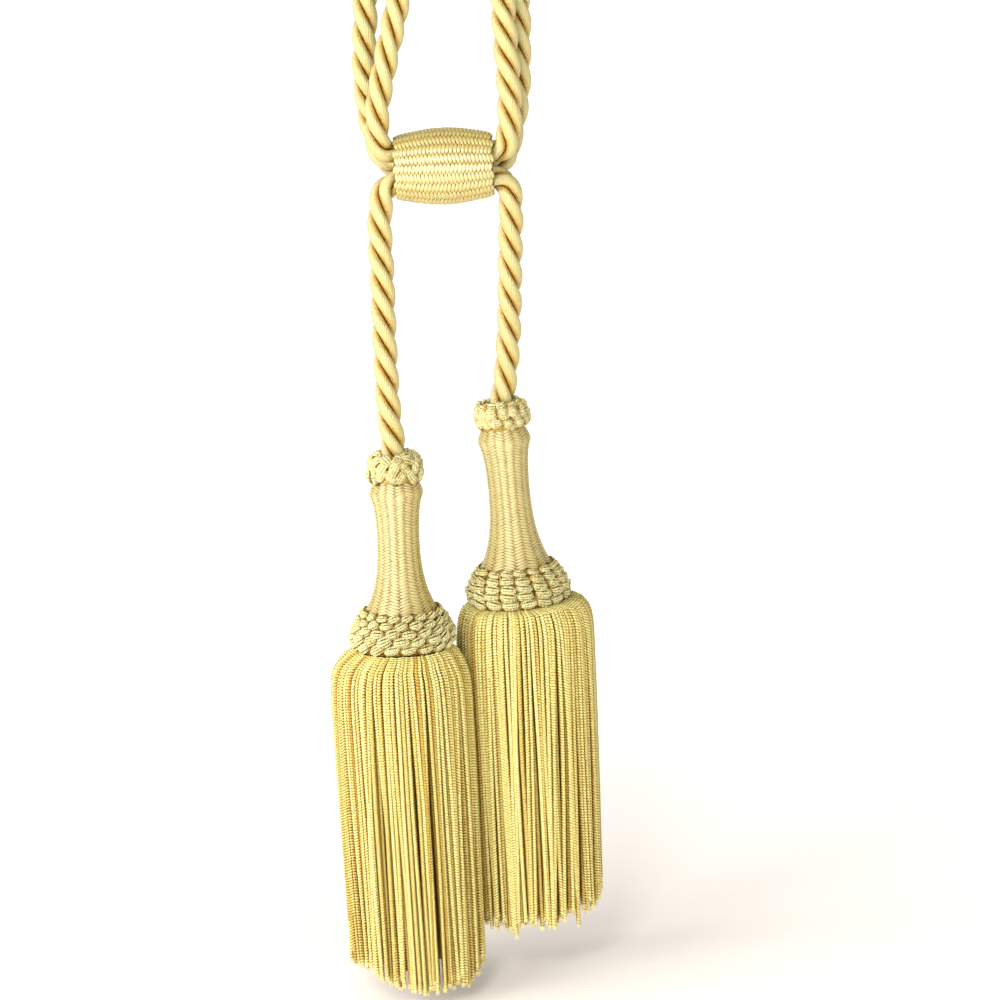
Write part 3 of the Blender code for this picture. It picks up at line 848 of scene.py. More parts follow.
@dataclass
class Rope:
    """The three-ply rope: left tassel, slider, rear loop, slider, front loop, slider, right tassel."""

    diameter: float = 11.0 * MM
    plies: int = 3
    lay: float = 37.5 * MM
    crown_radius: float = 5.6 * MM  # from the rope's middle to the back of a ply
    groove_radius: float = 2.8 * MM
    core_radius: float = 0.4 * MM
    fullness: float = 2.6           # how far a ply's back stays round before it dips into the groove
    back_points: int = 13
    step: float = 1.5 * MM
    slider_height: float = -0.340
    pass_radius: float = 6.15 * MM
    pass_half_length: float = 21.0 * MM
    pass_girth: float = 0.92
    # Where a ply's back is painted tan and then dark as shade, with 0 in its middle and 1 in the
    # groove:
    # start, width and depth of the painted shade.
    shades: tuple = ((0.58, 0.25, 0.45), (0.87, 0.13, 0.5))
    ply_share: float = 0.99         # of its third of the way round, that a ply fills
    # The route outside of the slider as x, y and z, and girth where it isn't 1.
    from_left_tassel: tuple = (
        (-0.0276, -0.0110, -0.4762), (-0.0279, -0.0110, -0.4630), (-0.0293, -0.0104, -0.4440),
        (-0.0297, -0.0086, -0.4160), (-0.0296, -0.0060, -0.3860), (-0.0298, -0.0040, -0.3670),
        (-0.0290, -0.0032, -0.3565), (-0.0265, -0.0030, -0.3488, 0.99),
    )
    rear_loop: tuple = (
        (0.0267, 0.0063, -0.3376, 0.98), (0.0292, 0.0065, -0.3295), (0.0330, 0.0063, -0.3120),
        (0.0345, 0.0062, -0.2880), (0.0347, 0.0062, -0.2520), (0.0326, 0.0062, -0.2000),
        (0.0295, 0.0062, -0.1300), (0.0270, 0.0062, -0.0600), (0.0245, 0.0062, -0.0180),
        (0.0145, 0.0062, 0.0003), (0.0000, 0.0062, 0.0060), (-0.0145, 0.0062, 0.0003),
        (-0.0240, 0.0062, -0.0180), (-0.0250, 0.0062, -0.0700), (-0.0265, 0.0062, -0.1500),
        (-0.0290, 0.0062, -0.2300), (-0.0322, 0.0063, -0.2720), (-0.0337, 0.0064, -0.3000),
        (-0.0323, 0.0066, -0.3170), (-0.0296, 0.0066, -0.3290),
        (-0.0263, 0.0064, -0.3370, 0.98),
    )
    front_loop: tuple = (
        (0.0269, -0.0046, -0.3318, 0.98), (0.0288, -0.0056, -0.3240),
        (0.0295, -0.0062, -0.3100), (0.0286, -0.0062, -0.2880), (0.0275, -0.0062, -0.2500),
        (0.0272, -0.0062, -0.1900), (0.0264, -0.0062, -0.1100), (0.0246, -0.0062, -0.0180),
        (0.0145, -0.0062, 0.0003), (0.0000, -0.0062, 0.0060), (-0.0145, -0.0062, 0.0003),
        (-0.0238, -0.0062, -0.0180), (-0.0215, -0.0062, -0.0800), (-0.0176, -0.0062, -0.1500),
        (-0.0152, -0.0062, -0.2150), (-0.0172, -0.0062, -0.2650), (-0.0238, -0.0062, -0.2930),
        (-0.0280, -0.0060, -0.3120), (-0.0289, -0.0057, -0.3235),
        (-0.0269, -0.0046, -0.3319, 0.98),
    )
    to_right_tassel: tuple = (
        (0.0267, -0.0030, -0.3482, 0.99), (0.0283, -0.0022, -0.3565), (0.0278, 0.0006, -0.3710),
        (0.0268, 0.0040, -0.3910), (0.0254, 0.0078, -0.4160), (0.0232, 0.0106, -0.4360),
        (0.0210, 0.0110, -0.4490), (0.0212, 0.0110, -0.4579),
    )

    def slider_pass(self, start: float) -> tuple:
        """The stops of one pass through the slider.

        Args:
            start: The angle round the slider's axis at its left end, in degrees.

        Returns:
            Stops from the left end to the right end, a third of a turn on.
        """
        stops = []
        for along in (-1.0, -0.8, -0.4, 0.0, 0.4, 0.8, 1.0):
            angle = math.radians(start + 60.0 * (along + 1.0))
            stops.append((
                along * self.pass_half_length,
                self.pass_radius * math.cos(angle),
                self.slider_height + self.pass_radius * math.sin(angle),
                self.pass_girth,
            ))
        return tuple(stops)

    def route(self) -> np.ndarray:
        """The rope's middle line, as rows of x, y, z and girth."""
        stops = (
            self.from_left_tassel + self.slider_pass(-120.0)
            + self.rear_loop + self.slider_pass(0.0)
            + self.front_loop + self.slider_pass(120.0)
            + self.to_right_tassel
        )
        return smooth_line(np.array([(*stop, 1.0)[:4] for stop in stops]), 0.5 * MM)

    def build(self) -> Object:
        rows = resampled(self.route(), self.step)
        middle, girth = rows[:, :3], rows[:, 3]
        distance = travelled(middle)
        heading = middle[1] - middle[0]
        sides, fronts = carried_frames(middle, np.cross(heading, (0.0, 1.0, 0.0)))
        back = np.sin(np.linspace(-0.5, 0.5, self.back_points) * math.pi)
        dipped = self.crown_radius - self.groove_radius
        radius = np.append(self.crown_radius - dipped * np.abs(back) ** self.fullness, self.core_radius)
        across = np.append(back, 0.0)
        low = sum(deep * np.clip((np.abs(back) - start) / width, 0.0, 1.0)
                  for start, width, deep in self.shades)
        # The core is painted fully dark, as shade inside the rope.
        low = np.append(low, 1.0)
        shell = Shell()
        for ply in range(self.plies):
            angle = math.tau * (ply / self.plies - distance / self.lay)
            turn = angle[:, None] + self.ply_share * across[None, :] * math.pi / self.plies
            reach = girth[:, None] * radius[None, :]
            spots = (middle[:, None] + (reach * np.cos(turn))[..., None] * sides[:, None]
                     + (reach * np.sin(turn))[..., None] * fronts[:, None])
            shell.add_rows(spots, along=(distance / MM)[:, None], across=across[None, :],
                           depth=low[None, :])
        piece = joined("twisted_rope", [shell.build("plies", ROPE_FINISH)], "rope")
        return piece


# ------------------------------------------------------------------ turned and thread-covered pieces


@dataclass(frozen=True)
class WovenLeg:
    """One short flat bundle of thread that bows over a row and dives in at its two sides."""

    upper: int = 6                  # faces round its back
    lower: int = 2                  # faces round its hidden side
    rings: int = 6
    bow: float = 0.44               # how far its ends lie below its middle, of its height
    fullness: float = 2.0           # how wide and high it stays toward its ends
    breadth: float = 0.85           # powers that square its section, across and upward
    flatness: float = 0.78

    def build(self) -> Object:
        """A bundle of length, width and height 1 that lies along X, hidden from the scene."""
        made = bpy.data.objects.get("woven_leg")
        if made:
            return made
        turn = np.append(np.linspace(0.0, math.pi, self.upper + 1),
                         np.linspace(math.pi, math.tau, self.lower + 1)[1:-1])
        position = np.cos(np.linspace(math.pi, 0.0, self.rings + 2))
        reach = np.sqrt(np.maximum(1.0 - np.abs(position) ** self.fullness, 0.01))
        wide = np.sign(np.cos(turn)) * np.abs(np.cos(turn)) ** self.breadth
        high = np.sign(np.sin(turn)) * np.abs(np.sin(turn)) ** self.flatness
        rows = np.empty((len(position), len(turn), 3))
        rows[..., 0] = 0.5 * position[:, None]
        rows[..., 1] = 0.5 * reach[:, None] * wide[None, :]
        rows[..., 2] = 0.5 * reach[:, None] * high[None, :] - self.bow * position[:, None] ** 2
        shell = Shell()
        # Painted shade: darker down its flanks and hidden side, and at its two ends where its
        # neighbours shade it.
        low = np.clip(0.34 - 0.55 * high, 0.0, 1.0)[None, :]
        ends = np.clip((np.abs(position) - 0.72) / 0.28, 0.0, 1.0)[:, None]
        shell.add_rows(rows, across=np.cos(turn)[None, :], along=position[:, None],
                       depth=np.clip(low + 0.5 * ends, 0.0, 1.0))
        made = shell.build("woven_leg", COVER_FINISH)
        bpy.context.scene.collection.objects.unlink(made)
        return made


@dataclass(frozen=True)
class WovenCover:
    """Thread woven over a turned shape in lengthwise rows of legs, which slant in turn."""

    rows: int
    pitch: float
    leg_height: float = 1.25 * MM
    leg_overlap: float = 1.16       # a leg's length and width, of the place that it has
    leg_width: float = 1.10
    slant: float = 28.0             # degrees
    proud: float = 0.30 * MM        # how far the legs' backs stand over the profile
    seed: int = 5

    def build(self, name: str, profile: np.ndarray, place: Matrix) -> Object:
        """Cover a turned profile.

        Args:
            name: The object's name.
            profile: Rows of radius and height of the finished surface, along its axis.
            place: Where the turned piece stands.

        Returns:
            The cover, as one object.
        """
        curve = smooth_line(profile, 0.2 * MM)
        distance = travelled(curve)
        courses = int(round(distance[-1] / self.pitch))
        spacing = distance[-1] / courses
        slopes = unit(np.gradient(curve, axis=0))
        spots, outs, lies, sizes = [], [], [], []
        for row in range(self.rows):
            angle = math.tau * (row + 0.5) / self.rows
            outward = np.array((math.cos(angle), math.sin(angle), 0.0))
            around = np.array((-math.sin(angle), math.cos(angle), 0.0))
            tilt = math.radians(self.slant) * (1.0 if row % 2 else -1.0)
            for at in (np.arange(courses) + 0.5 * (row % 2) + 0.25) * spacing:
                radius, height, dr, dz = (
                    np.interp(at, distance, column) for column in np.column_stack((curve, slopes)).T)
                down = dr * outward + np.array((0.0, 0.0, dz))
                out = np.cross(around, down)
                out = out if np.dot(out, outward) > 0 else -out
                spot = radius * outward + np.array((0.0, 0.0, height))
                spots.append(spot - out * (0.5 * self.leg_height - self.proud))
                outs.append(out)
                lies.append(around * math.cos(tilt) + down * math.sin(tilt))
                length = math.tau * radius / self.rows * self.leg_overlap / math.cos(tilt)
                sizes.append((length, spacing * self.leg_width * math.cos(tilt), self.leg_height))
        turn = np.array(place.to_3x3()).T
        seats = points_object(name, np.array(spots) @ turn + np.array(place.translation), [],
                              out=np.array(outs) @ turn, lie=np.array(lies) @ turn,
                              size=np.array(sizes))
        return grown_mesh(seats, seated_tree(), Piece=WovenLeg().build(), Size_jitter=0.04,
                          Turn_jitter=0.05, Tint=0.25, Seed=self.seed, Finish=COVER_FINISH.material())


def lathe(name: str, finish: ThreadFinish, place: Matrix, profile: np.ndarray, sides: int,
          closed: bool = True, depth: float = 0.35) -> Object:
    """Turn a piece round the Z axis.

    Args:
        name: The piece's name.
        finish: What it is dressed in.
        place: Where it stands.
        profile: Rows of radius and height in millimetres, downward along the outside.
        sides: How many faces go round.
        closed: Whether the two ends get a cap.
        depth: How deep in the shade it lies, from 0 to 1.

    Returns:
        The piece.
    """
    profile = np.asarray(profile) * MM
    turn = np.linspace(0.0, math.tau, sides, endpoint=False)[::-1]
    rows = np.empty((len(profile), sides, 3))
    rows[..., 0] = profile[:, 0:1] * np.cos(turn)
    rows[..., 1] = profile[:, 0:1] * np.sin(turn)
    rows[..., 2] = profile[:, 1:2]
    height = travelled(profile)
    shell = Shell()
    shell.add_rows(rows, closed_ends=closed, along=(height / MM)[:, None], depth=depth)
    return shell.build(name, finish, place)


@dataclass
class Slider:
    """The thread-covered barrel that the three passes of the rope go through."""

    height: float = -0.340
    outside: tuple = (
        (13.1, -22.2), (14.0, -20.4), (15.3, -14.0), (16.5, -5.0),
        (16.5, 4.6), (15.3, 13.2), (14.0, 19.4), (13.1, 21.1),
    )
    bore: tuple = ((12.5, 21.0), (11.6, 18.4), (11.6, -19.0), (12.5, -22.1))
    cover: WovenCover = WovenCover(rows=22, pitch=1.72 * MM, slant=13.0)
    ground_sink: float = 0.45       # millimetres

    def build(self) -> Object:
        """Turn the barrel and weave its cover."""
        place = Matrix.Translation((0.0, 0.0, self.height)) @ Matrix.Rotation(math.radians(90), 4, "Y")
        outside = np.array(self.outside)
        ground = outside - np.array((self.ground_sink, 0.0))
        loop = np.vstack((ground[::-1], self.bore[::-1], ground[-1:]))
        body = lathe("slider_ground", GROUND_FINISH, place, loop, 60, closed=False)
        cover = self.cover.build("slider_rows", outside * MM, place)
        return joined("slider_cover", [cover, body], "slider")


# ------------------------------------------------------------------ tassels


@dataclass(frozen=True)
class Hang:
    """How one tassel hangs. Angles are in degrees and lengths in millimetres."""

    side: str
    x: float
    y: float
    ridge_z: float
    lean: float
    collar_drop: float              # how far the collar has slipped down the bell
    shoulder_shift: float           # how far the fringe swings to the right, top and bottom
    hem_shift: float
    hem_lift: float                 # how much shorter the fringe is all round, on its outer
    outer_lift: float               # side, and on both sides
    edge_lift: float
    neighbour: float                # direction of the other tassel, from +X
    knot_columns: int
    knot_stagger: float             # of a column, from row to row
    knot_slant: float
    petal_slant: float              # from lying round the rope to hanging down
    petal_reach: float              # share of a petal's full length
    seed: int

    def place(self) -> Matrix:
        """Where the head's ridge is, with the head's lean."""
        ridge = Matrix.Translation((self.x * MM, self.y * MM, self.ridge_z * MM))
        return ridge @ Matrix.Rotation(math.radians(-self.lean), 4, "Y")

    def collar_place(self) -> Matrix:
        """Where the collar is, which may have slipped down the head."""
        return self.place() @ Matrix.Translation((0.0, 0.0, -self.collar_drop * MM))


@dataclass
class Head:
    """The turned head under its woven cover, from its top in the ruff to the collar."""

    hang: Hang
    # Radius, height above the ridge and share of the collar's drop that lowers the row.
    profile: tuple = (
        (8.6, 8.4, 0.0), (9.8, 5.4, 0.0), (11.2, 2.4, 0.0), (11.9, 0.0, 0.0),
        (10.7, -4.2, 0.0), (9.7, -12.0, 0.0), (9.4, -25.0, 0.5), (10.3, -36.0, 0.7),
        (12.0, -44.0, 0.8), (14.1, -49.6, 0.9), (15.9, -53.2, 1.0),
    )
    foot: tuple = ((18.4, -57.0), (18.4, -70.2))
    cover: WovenCover = WovenCover(rows=16, pitch=1.37 * MM, slant=18.0)
    ground_sink: float = 0.45
    edge_radius: float = 0.55
    edge_ring: tuple = (16.1, -53.5)    # radius and height

    def build(self) -> Object:
        """Turn the head, weave its cover and wind the edge at its foot."""
        drop = self.hang.collar_drop
        surface = np.array([(r, z - share * drop) for r, z, share in self.profile])
        foot = np.array([(r, z - drop) for r, z in self.foot])
        ground = np.vstack((surface - (self.ground_sink, 0.0), foot))
        side = self.hang.side
        body = lathe(f"{side}_head_ground", GROUND_FINISH, self.hang.place(), ground, 48)
        cover = self.cover.build(f"{side}_head_rows", surface * MM, self.hang.place())
        return joined(f"{side}_head_cover", [cover, body, self.edge()], f"{side}_head")

    def edge(self) -> Object:
        """The smooth wound edge where the bell meets the collar."""
        turn = np.linspace(0.0, math.tau, 96, endpoint=False)
        section = np.linspace(0.0, math.tau, 8, endpoint=False)
        radius, height = self.edge_ring
        reach = (radius + self.edge_radius * np.cos(section))[None, :]
        rows = np.empty((97, 8, 3))
        angle = np.append(turn, math.tau)[:, None]
        rows[..., 0] = reach * np.cos(angle)
        rows[..., 1] = reach * np.sin(angle)
        rows[..., 2] = height - self.hang.collar_drop + self.edge_radius * np.sin(section)[None, :]
        shell = Shell()
        shell.add_rows(rows * MM, closed_ends=False, along=radius * angle,
                       across=np.sin(section)[None, :])
        return shell.build(f"{self.hang.side}_head_edge", ROPE_FINISH, self.hang.place())


@dataclass
class Collar:
    """The knotted collar: rows of cord knots on a band round the foot of the head."""

    hang: Hang
    # Radius and height of each row of knots, and its size against the others.
    knot_rows: tuple = (
        (17.5, -54.5, 0.84), (19.5, -57.5, 0.90), (21.0, -60.6, 0.95), (22.1, -63.8, 1.0),
        (21.9, -67.4, 0.95),
    )
    band: tuple = (
        (17.0, -53.6), (18.4, -56.4), (19.8, -59.6), (20.9, -63.4), (21.4, -67.0), (21.4, -70.0),
        (20.4, -70.2), (19.8, -58.4), (16.8, -53.8),
    )
    cord: TwistedCord = TwistedCord(radius=0.84 * MM, pitch=2.4 * MM, dip=1.7)
    strands: int = 4
    knot_reach: float = 1.04        # a knot's width, of its column's
    knot_height: float = 5.1
    bulge: float = 3.0
    sink: float = 1.2               # how far a knot's ends lie in the band
    tilt_jitter: float = 12.0       # degrees

    def knot(self, shell: Shell, spot: tuple[float, float, float], width: float, size: float,
             random: np.random.Generator) -> None:
        """Add one knot: turns of cord drawn together at their ends.

        Args:
            shell: What it is added to.
            spot: The band's radius and height there in millimetres, and the angle in radians.
            width: The knot's width in millimetres.
            size: Its size against a full one.
            random: Source of its unevenness.
        """
        radius, height, angle = spot
        tilt = math.radians(self.hang.knot_slant + random.uniform(-self.tilt_jitter, self.tilt_jitter))
        tint = random.uniform(0.0, 0.25)
        t = np.linspace(-1.0, 1.0, 15)
        for offset in np.linspace(-1.0, 1.0, self.strands):
            spread = offset * (self.knot_height * size * 0.5 - self.cord.radius / MM)
            up = spread * (1.1 - 0.7 * np.abs(t) ** 2.5)
            across = 0.5 * width * t
            turned = across * math.cos(tilt) - up * math.sin(tilt)
            raised = across * math.sin(tilt) + up * math.cos(tilt)
            bulge = self.bulge * size * (1.0 - 0.5 * offset ** 2)
            rise = bulge * (1.0 - t ** 2) ** 0.6 - 0.5 * t ** 4
            out = radius - self.sink + rise
            round_ = angle + turned / radius
            line = np.column_stack((out * np.cos(round_), out * np.sin(round_), height + raised))
            line = np.column_stack((line * MM, size ** 0.5 * (1.0 - 0.3 * t ** 4), rise))
            outward = (math.cos(angle), math.sin(angle), 0.0)
            self.cord.lay(shell, line, outward, tint)

    def build(self) -> Object:
        """Make the band and tie the knots on it."""
        random = np.random.default_rng(self.hang.seed + 40)
        side = self.hang.side
        columns = self.hang.knot_columns
        # The band is painted deep in shade, where it shows between the knots.
        body = lathe(f"{side}_collar_band", CROCHET_FINISH, self.hang.collar_place(),
                     (*self.band, self.band[0]), 68, closed=False, depth=0.9)
        shell = Shell()
        for row, (radius, height, size) in enumerate(self.knot_rows):
            width = math.tau * radius / columns * self.knot_reach
            for column in range(columns):
                at = column + self.hang.knot_stagger * row + random.uniform(-0.07, 0.07)
                angle = math.tau * at / columns
                low = height + random.uniform(-0.35, 0.35)
                grown = size * random.uniform(0.92, 1.06)
                self.knot(shell, (radius, low, angle), width, grown, random)
        knots = shell.build(f"{side}_collar_cords", CROCHET_FINISH, self.hang.collar_place())
        return joined(f"{side}_collar_knots", [knots, body], f"{side}_collar")


@dataclass
class Ruff:
    """The crocheted ruff: tiers of small petals of looped cord round the rope."""

    hang: Hang
    # Tiers as petals, distance down the dome, length, and share of the petals' slant.
    tiers: tuple = (
        (11, 1.8, 6.4, 0.3), (12, 4.4, 7.2, 0.6), (13, 7.3, 7.8, 0.9), (14, 10.6, 8.0, 1.0),
    )
    # The dome that the petals lie on, from the rope down: radius and height.
    dome: tuple = (
        (6.6, 15.0), (8.0, 16.4), (9.5, 15.4), (10.4, 12.7), (10.6, 9.4), (10.4, 6.0), (10.0, 2.6),
    )
    petal_width: float = 4.7
    slant_jitter: float = 22.0      # degrees
    strands: int = 4
    bulge: float = 1.4
    cord: TwistedCord = TwistedCord(radius=0.95 * MM, pitch=2.4 * MM, waist=0.88, dip=1.3)
    throat: tuple = ((6.6, 14.4), (8.2, 15.0), (9.8, 13.4), (10.3, 9.8), (9.9, 5.6), (6.6, 5.4))

    def on_dome(self, around: np.ndarray, down: np.ndarray, out: np.ndarray,
                angle: float) -> np.ndarray:
        """Points over the dome.

        Args:
            around: Distances round the dome from the angle, in millimetres.
            down: Distances down the dome, in millimetres.
            out: How far the points stand out of it.
            angle: Where round the rope, in radians.

        Returns:
            The points, in millimetres.
        """
        curve = smooth_line(np.array(self.dome), 0.2)
        reach = travelled(curve)
        slopes = unit(np.gradient(curve, axis=0))
        radius = np.interp(down, reach, curve[:, 0]) - out * np.interp(down, reach, slopes[:, 1])
        height = np.interp(down, reach, curve[:, 1]) + out * np.interp(down, reach, slopes[:, 0])
        round_ = angle + around / radius
        return np.stack((radius * np.cos(round_), radius * np.sin(round_), height), axis=-1)

    def petal(self, shell: Shell, angle: float, down: float, length: float, slant: float,
              random: np.random.Generator) -> None:
        """Add one petal: turns of cord drawn together at both ends.

        Args:
            shell: What it is added to.
            angle: Its place round the rope, in radians.
            down: Its middle's distance down the dome, in millimetres.
            length: Its length in millimetres.
            slant: How far it is turned from lying round the rope, in radians.
            random: Source of its unevenness.
        """
        t = np.linspace(-1.0, 1.0, 15)
        lift = random.uniform(-0.3, 0.7)
        tint = random.uniform(0.0, 0.25)
        for offset in np.linspace(-1.0, 1.0, self.strands):
            spread = offset * (0.5 * self.petal_width - self.cord.radius / MM) * (1.1 - 0.8 * t ** 2)
            run = 0.5 * length * t
            around = run * math.cos(slant) - spread * math.sin(slant)
            sunk = down + run * math.sin(slant) + spread * math.cos(slant)
            bulge = self.bulge * (1.0 - 0.45 * offset ** 2)
            out = lift + bulge * (1.0 - t ** 2) ** 0.6 - 0.7 * t ** 4
            line = self.on_dome(around, sunk, out, angle)
            line = np.column_stack((line * MM, 1.0 - 0.3 * t ** 4, out))
            self.cord.lay(shell, line, (0.96 * math.cos(angle), 0.96 * math.sin(angle), 0.28), tint)

    def build(self) -> Object:
        """Crochet the petals round the throat that holds the rope."""
        random = np.random.default_rng(self.hang.seed + 80)
        side = self.hang.side
        # The throat is painted in shade, where it shows between the petals.
        body = lathe(f"{side}_ruff_throat", CROCHET_FINISH, self.hang.place(),
                     (*self.throat, self.throat[0]), 48, closed=False, depth=0.6)
        shell = Shell()
        for petals, down, length, share in self.tiers:
            first = random.uniform(0.0, math.tau)
            for petal in range(petals):
                angle = first + math.tau * (petal + random.uniform(-0.15, 0.15)) / petals
                slant = self.hang.petal_slant * share
                slant += random.uniform(-self.slant_jitter, self.slant_jitter)
                side_turn = 1.0 if petal % 2 else -1.0
                self.petal(shell, angle, down + random.uniform(-0.8, 0.8),
                           length * self.hang.petal_reach * random.uniform(0.88, 1.08),
                           side_turn * math.radians(slant), random)
        petals = shell.build(f"{side}_ruff_cords", CROCHET_FINISH, self.hang.place())
        return joined(f"{side}_ruff_petals", [petals, body], f"{side}_ruff")


@dataclass(frozen=True)
class Ring:
    """One ring of strands: how many, how far from the middle, and how finely made."""

    strands: int
    radius: float                   # millimetres, where the fringe is widest
    root: float                     # and where the strands start
    sides: int                      # faces round a strand
    points: int                     # points along it
    jitter: float                   # unevenness, against that of a usual ring


@dataclass
class Fringe:
    """The skirt of chainette cords: rings of strands that dome out and hang to an uneven hem."""

    hang: Hang
    rings: tuple[Ring, ...] = (
        Ring(98, 30.3, 21.2, 8, 36, 0.9),
        Ring(88, 28.4, 20.4, 6, 30, 1.0),
        Ring(66, 26.2, 18.0, 5, 22, 1.0),
        Ring(46, 22.5, 15.0, 5, 10, 1.0),
        Ring(34, 17.5, 12.0, 5, 8, 1.2),
        Ring(22, 12.0, 8.0, 5, 8, 1.2),
        Ring(12, 6.0, 4.0, 5, 8, 1.2),
    )
    strand_radius: float = 0.95
    flank_depth: float = 0.62       # how far a strand's flanks lie in its neighbours' shade
    backing_top: float = -70.9      # heights above the ridge, in millimetres
    shoulder: float = -84.0
    hem: float = -220.0
    hem_spread: float = 3.4
    stray_every: int = 17           # of the outer strands, one in this many hangs lower
    frayed_rings: int = 3
    flat_reach: float = 29.8        # where the other tassel's fringe stops this one
    free_radius: float = 31.2
    sway: float = 2.7               # how far a strand's end strays sideways
    wave: float = 0.7               # and its middle

    def droop(self, along: np.ndarray) -> np.ndarray:
        """How far down the fringe heights are: 0 at the shoulder and above, 1 at the hem."""
        return np.clip((self.shoulder - along) / (self.shoulder - self.hem), 0.0, 1.0)

    def gathered(self, angle: float, phases: np.ndarray) -> float:
        """How far a strand is drawn to its neighbours, in strands: they hang in small groups."""
        p = phases
        return (0.34 * math.sin(13 * angle + p[0]) + 0.30 * math.sin(23 * angle + p[1])
                + 0.26 * math.sin(31 * angle + p[2]))

    def waved(self, angle: np.ndarray, down: np.ndarray, phases: np.ndarray) -> tuple:
        """Angles and changes of radius of strands that hang at an angle."""
        p = phases
        sideways = 0.012 * np.sin(3 * angle + p[0]) + 0.008 * np.sin(5 * angle + p[1])
        outward = 0.5 * np.sin(2 * angle + p[2]) + 0.35 * np.sin(5 * angle + p[3])
        outward = outward + 0.3 * np.sin(9 * angle + p[4] + 2.0 * down)
        return angle + sideways * down, outward * down

    def strand(self, ring: Ring, angle: float, cut: float, phases: np.ndarray,
               random: np.random.Generator) -> np.ndarray:
        """One strand's middle line, in millimetres from the ridge.

        Args:
            ring: The ring that it belongs to.
            angle: Where it hangs, in radians.
            cut: How far from the mean hem it is cut.
            phases: The phases of the skirt's folds.
            random: Source of its unevenness.

        Returns:
            Rows of x, y and z from its root to its end.
        """
        inset = self.rings[0].radius - ring.radius
        sunk = min(random.exponential(0.32), 1.4)
        radius = ring.radius + 0.9 - sunk
        width = radius - ring.root
        top = self.backing_top - 0.55 * inset - random.uniform(0.0, 0.6)
        stops = np.array((
            (ring.root, top),
            (ring.root + 0.24 * width, top - 1.1),
            (ring.root + 0.48 * width, top - 3.3),
            (ring.root + 0.70 * width, top - 6.2),
            (ring.root + 0.87 * width, top - 10.0),
            (ring.root + 0.96 * width, top - 15.5),
            (radius, -108.0),
            (radius - 0.1, -150.0),
            (radius - 0.6, self.hem + cut),
        ))
        path = resampled(smooth_line(stops, 1.0), 0.4)
        pick = np.linspace(0.0, 1.0, ring.points)
        reach = travelled(path)
        r = np.interp(pick * reach[-1], reach, path[:, 0])
        z = np.interp(pick * reach[-1], reach, path[:, 1])
        down = self.droop(z)
        drawn = self.gathered(angle, phases) * math.tau / ring.strands
        turned, outward = self.waved(angle + drawn * np.clip(2.5 * down, 0.0, 1.0), down, phases)
        strays = random.uniform(-1.0, 1.0, 3) * ring.jitter
        snake = np.sin(math.tau * down * 0.8 + 6 * strays[2])
        lateral = strays[0] * self.sway * down ** 1.5 + strays[1] * self.wave * down * snake
        turned = turned + lateral / np.maximum(r, 6.0)
        toward = math.radians(self.hang.neighbour)
        facing = (self.free_radius + outward) * np.cos(turned - toward)
        push = np.minimum(0.0, self.flat_reach - facing) * (ring.radius / self.rings[0].radius)
        settled = np.clip((self.backing_top - z) / 6.0, 0.0, 1.0)
        shift = self.hang.shoulder_shift + (self.hang.hem_shift - self.hang.shoulder_shift) * down
        x = (r + outward) * np.cos(turned) + settled * (push * math.cos(toward) + shift)
        y = (r + outward) * np.sin(turned) + settled * push * math.sin(toward)
        return np.column_stack((x, y, z - self.hang.collar_drop * (1.0 - settled)))

    def build(self) -> Object:
        """Hang the strands, ring by ring, and fray their ends."""
        random = np.random.default_rng(self.hang.seed + 120)
        phases = np.random.default_rng(self.hang.seed).uniform(0, math.tau, 6)
        side = self.hang.side
        parts, tips, flows = [], [], []
        for number, ring in enumerate(self.rings):
            spots, edges, values = [], [], {"along": [], "girth": [], "tint": [], "side": []}
            spacing = math.tau / ring.strands
            for index in range(ring.strands):
                off = random.uniform(-0.22, 0.22) * ring.jitter
                angle = spacing * (index + 0.5 * (number % 2) + off)
                away = math.cos(angle - math.radians(self.hang.neighbour))
                cut = random.uniform(-self.hem_spread, self.hem_spread) + self.hang.hem_lift
                cut += self.hang.edge_lift * abs(away) ** 3 - self.hang.outer_lift * away
                if number == 0 and index % self.stray_every == 0:
                    cut -= random.uniform(2.0, 5.0)
                line = self.strand(ring, angle, cut, phases, random)
                start = len(spots)
                spots += (line * MM).tolist()
                edges += [(start + k, start + k + 1) for k in range(len(line) - 1)]
                values["along"] += (travelled(line) + random.uniform(0.0, 4.0)).tolist()
                values["girth"] += [random.uniform(0.9, 1.1)] * len(line)
                # A random off-tone, plus painted shade that grows ring by ring inward.
                values["tint"] += [max(0.0, random.normal(0.10, 0.32)) + 0.6 * number] * len(line)
                facing = angle + math.pi / 2 + random.normal(0.0, 0.3)
                values["side"] += [(math.cos(facing), math.sin(facing), 0.0)] * len(line)
                if number < self.frayed_rings:
                    tips.append(line[-1] * MM)
                    flows.append(unit(line[-1] - line[-3]))
            guides = points_object(f"{side}_ring_{number}", np.array(spots), edges,
                                   **{k: np.array(v) for k, v in values.items()})
            parts.append(grown_mesh(guides, strand_tree(), Strand_radius=self.strand_radius * MM,
                                    Sides=ring.sides, Flank_depth=self.flank_depth,
                                    Finish=FRINGE_FINISH.material()))
        for part in parts:
            part.data.transform(self.hang.place())
        parts.append(self.frayed_ends(np.array(tips), np.array(flows)))
        parts.append(self.backing())
        return joined(f"{side}_fringe_strands", parts, f"{side}_fringe")

